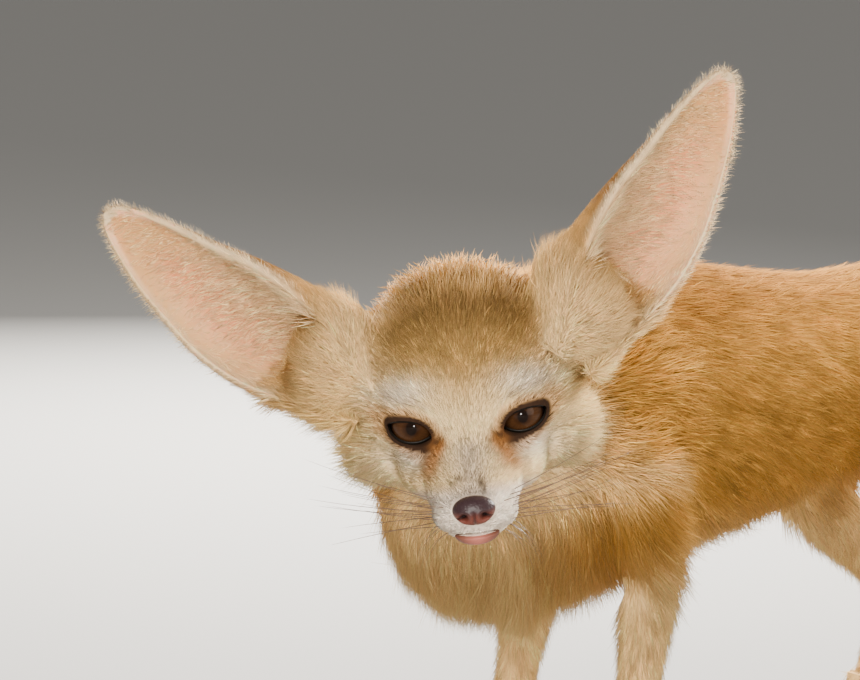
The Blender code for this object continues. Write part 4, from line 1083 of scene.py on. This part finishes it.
COATS = (
    ("face_fur", face_density, 49000, 0.34, 1, 0.15, 30, (0.7, 1.03), "fur"),
    ("crown_fur", crown_density, 19900, 0.44, 2, 0.4, 14, (0.6, 0.95), "fur"),
    ("cheek_fur", cheek_density, 15000, 0.40, 2, 0.25, 14, (0.7, 1.0), "fur"),
    ("ear_fur", lambda at, part: part["back"], 36000, 0.30, 1, 0.12, 12, (0.7, 1.0), "fur"),
    ("ear_hair", cup_density, 14000, 0.3, 2, 0.3, 12, (0.85, 1.03), "fur", (EAR_HAIR, 0.75)),
    ("neck_fur", neck_density, 49000, 0.52, 1, 0.5, 40, (0.62, 1.05), "fur"),
    ("trunk_fur", trunk_density, 49000, 0.66, 1, 0.5, 30, (0.62, 1.05), "fur"),
    ("tail_fur", lambda at, part: part["tail"], 8000, 0.85, 2, 0.4, 12, (0.62, 1.02), "fur"),
    ("leg_fur", lambda at, part: part["leg"], 36000, 0.55, 1, 0.2, 20, (0.75, 1.03), "pale_fur"),
)
for coat in COATS:
    tufts(*coat)

# Whiskers in rows on the pads of the upper lip, finer curved ones under them, and a few hairs over each eye.
def strands(roots, ways, bends, lengths, radius, steps=10):
    """Tapering hairs along root + length x (s way + s^2 bend)."""
    s = np.linspace(0, 1, steps)[None, :, None]
    path = roots[:, None] + lengths[:, None, None] * (s * ways[:, None] + s**2 * bends[:, None])
    across = unit(np.cross(ways, [0.0, 0.0, 1.0]))
    thick = radius * (1 - 0.75 * s[..., 0]) * np.ones((len(roots), 1))
    return tube(path, across, np.cross(across, ways), thick, thick, 5)


WHISKER_ROWS = ((-15.5, 0.16, 3, 0), (-18, 0.08, 4, 0), (-20.3, 0.0, 4, 0), (-22.3, -0.12, 3, 0.1))
WHISKER_RADIUS, CHIN_HAIR_RADIUS, BROW_HAIR_RADIUS = 0.17, 0.1, 0.11


def ways_about(draw, count, sideways, back, up, spread):
    """Directions near one direction: that direction + spread x a normal draw in each axis."""
    way = np.stack([np.full(count, sideways), back + np.zeros(count), up + np.zeros(count)], 1)
    return unit(way + spread * draw.normal(size=(count, 3)))


hairs = []
for sign in (1, -1):
    draw = np.random.default_rng(7 + sign)
    for z, lift, count, droop in WHISKER_ROWS:
        y = np.linspace(-36, -27, count)
        reach = np.interp(y, [-36, -27], [0.6, 1.0])
        roots_at = np.stack([sign * (10.2 + 0.35 * (y + 36)), y, np.full(count, z)], 1)
        ways = ways_about(draw, count, sign, 0.35, lift, 0.06)
        bends = np.tile([-0.02 * sign, 0.22, -0.02 - droop], (count, 1))
        lengths = (30 + 16 * reach) * draw.uniform(0.8, 1.1, count)
        hairs.append(strands(roots_at, ways, bends, lengths, WHISKER_RADIUS))
    count = 9
    y = draw.uniform(-38, -24, count)
    roots_at = np.stack([sign * (9 + 0.3 * (y + 38)), y, draw.uniform(-27, -23.5, count)], 1)
    ways = ways_about(draw, count, sign * 0.8, 0.1, -0.45, 0.12)
    bends = np.tile([-0.25 * sign, 0.1, -0.45], (count, 1))
    hairs.append(strands(roots_at, ways, bends, draw.uniform(10, 18, count), CHIN_HAIR_RADIUS))
    count = 5
    spans = ((11, 17), (-5, -3), (5.5, 8.5))
    roots_at = np.stack([draw.uniform(low, high, count) for low, high in spans], 1) * (sign, 1, 1)
    ways = ways_about(draw, count, sign * 0.5, -0.35, 0.6, 0.15)
    bends = np.tile([0.35 * sign, 0.3, -0.12], (count, 1))
    hairs.append(strands(roots_at, ways, bends, draw.uniform(12, 20, count), BROW_HAIR_RADIUS))
whiskers = mesh_object("whiskers", *(on_head(form) for form in hairs))
whisker_finish, shader, start = finish("whisker", {"Roughness": 0.35, "Specular IOR Level": 0.6})
along = start.node("ShaderNodeTexNoise", {}, {"Vector": start.node("ShaderNodeTexCoord", output=3), "Scale": 40.0})
browns = {0: along, 6: (0.03, 0.016, 0.01, 1), 7: (0.20, 0.11, 0.06, 1)}
link(start.node("ShaderNodeMix", {"data_type": "RGBA"}, browns, 2), shader, "Base Color")
whiskers.data.materials.append(whisker_finish)
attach(whiskers, "root")

# Four slender curved claws on each paw, horn brown with paler streaks.
CLAW_LENGTH, CLAW_RADIUS = 7.5, 1.15
claws = []
for way in ("fore", "hind"):
    for side in ("left", "right"):
        x, y = paw_place(way, side)
        toes = np.array(TOES)
        roots_at = np.stack([x + toes[:, 0] * 1.05, y - PAW_LENGTH[way] + toes[:, 1] - 5.0, np.full(4, 6.4)], 1)
        s = np.linspace(0, 1, 9)[None, :, None]
        path = roots_at[:, None] + CLAW_LENGTH * (s * np.array([0, -1.0, 0.05]) + s**2 * np.array([0, 0.12, -0.72]))
        thick = CLAW_RADIUS * (1 - 0.85 * s[..., 0] ** 1.4) * np.ones((4, 1))
        across, over = np.tile([1.0, 0, 0], (4, 1)), np.tile([0, 0, 1.0], (4, 1))
        claws.append(tube(path, across, over, thick * 0.8, thick * 1.1, 10))
claws = mesh_object("claws", *claws)
claw_finish, shader, start = finish("claw horn", {"Roughness": 0.4, "Coat Weight": 0.2})
place = start.node("ShaderNodeTexCoord", output=3)
streaks = start.node("ShaderNodeTexNoise", {}, {"Vector": place, "Scale": 700.0, "Detail": 3.0})
horn = {0: streaks, 6: (0.10, 0.06, 0.035, 1), 7: (0.38, 0.27, 0.18, 1)}
link(start.node("ShaderNodeMix", {"data_type": "RGBA"}, horn, 2), shader, "Base Color")
link(start.node("ShaderNodeBump", {}, {"Strength": 0.3, "Distance": 0.0002, "Height": streaks}), shader, "Normal")
claws.data.materials.append(claw_finish)
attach(claws, "root")

# The floor and the light: a pale matt floor, one broad soft light by the camera, a weaker one from the other
# side, a small one at eye level that glints in both eyes, and two low ones behind, which put the bright edge
# on ears, crown and back.
FLOOR_HALF = 9000
floor_corners = FLOOR_HALF * np.array([(-1, -1, 0), (1, -1, 0), (1, 1, 0), (-1, 1, 0)], float)
floor = mesh_object("floor", (floor_corners, np.array([[0, 1, 2, 3]])))
floor_finish, shader, start = finish("floor", {"Base Color": (0.31, 0.305, 0.295, 1), "Roughness": 0.9})
floor.data.materials.append(floor_finish)
AIM = (np.array([20.9, -174.7, 187.0]) - SLIDE) / 1000
CAMERA_TURN, CAMERA_TILT, CAMERA_FAR = 50, 8, 1.61
HALF_VIEW, SENSOR_WIDE = 5.15, 36


def placed(name, data, turn, tilt, far):
    """An object at an angle round the aim, an angle above it and a distance from it, its -Z on the aim."""
    turn, tilt = math.radians(turn), math.radians(tilt)
    back = np.array([math.sin(turn) * math.cos(tilt), -math.cos(turn) * math.cos(tilt), math.sin(tilt)])
    right = unit(np.cross([0, 0, 1.0], back))
    matrix = np.eye(4)
    matrix[:3] = np.column_stack([right, np.cross(back, right), back, AIM + far * back])
    holder = bpy.data.objects.new(name, data)
    bpy.context.scene.collection.objects.link(holder)
    holder.matrix_world = Matrix(matrix.tolist())
    return holder


for name, turn, tilt, far, size, power, colour in (
    ("key", 40, 28, 1.5, 0.6, 33, (1, 0.95, 0.87)),
    ("fill", 105, 8, 1.6, 1.2, 12, (1, 0.95, 0.87)),
    ("catch", 52, 1, 1.35, 0.2, 13, (1, 0.96, 0.90)),
    ("rim", 232, 20, 1.3, 0.5, 72, (1, 0.95, 0.88)),
    ("rim_other_side", 182, 24, 1.3, 0.4, 40, (1, 0.95, 0.88)),
):
    lamp = bpy.data.lights.new(name, "AREA")
    lamp.shape = "DISK"
    lamp.size = size
    lamp.energy = power
    lamp.color = colour
    placed(name, lamp, turn, tilt, far)
world = bpy.data.worlds.new("studio")
world.use_nodes = True
world.node_tree.nodes["Background"].inputs["Color"].default_value = (1.0, 0.97, 0.92, 1)
world.node_tree.nodes["Background"].inputs["Strength"].default_value = 0.5
bpy.context.scene.world = world
lens = bpy.data.cameras.new("camera")
lens.sensor_width = SENSOR_WIDE
lens.lens = SENSOR_WIDE / 2 / math.tan(math.radians(HALF_VIEW))
lens.clip_end = 100
bpy.context.scene.camera = placed("camera", lens, CAMERA_TURN, CAMERA_TILT, CAMERA_FAR)
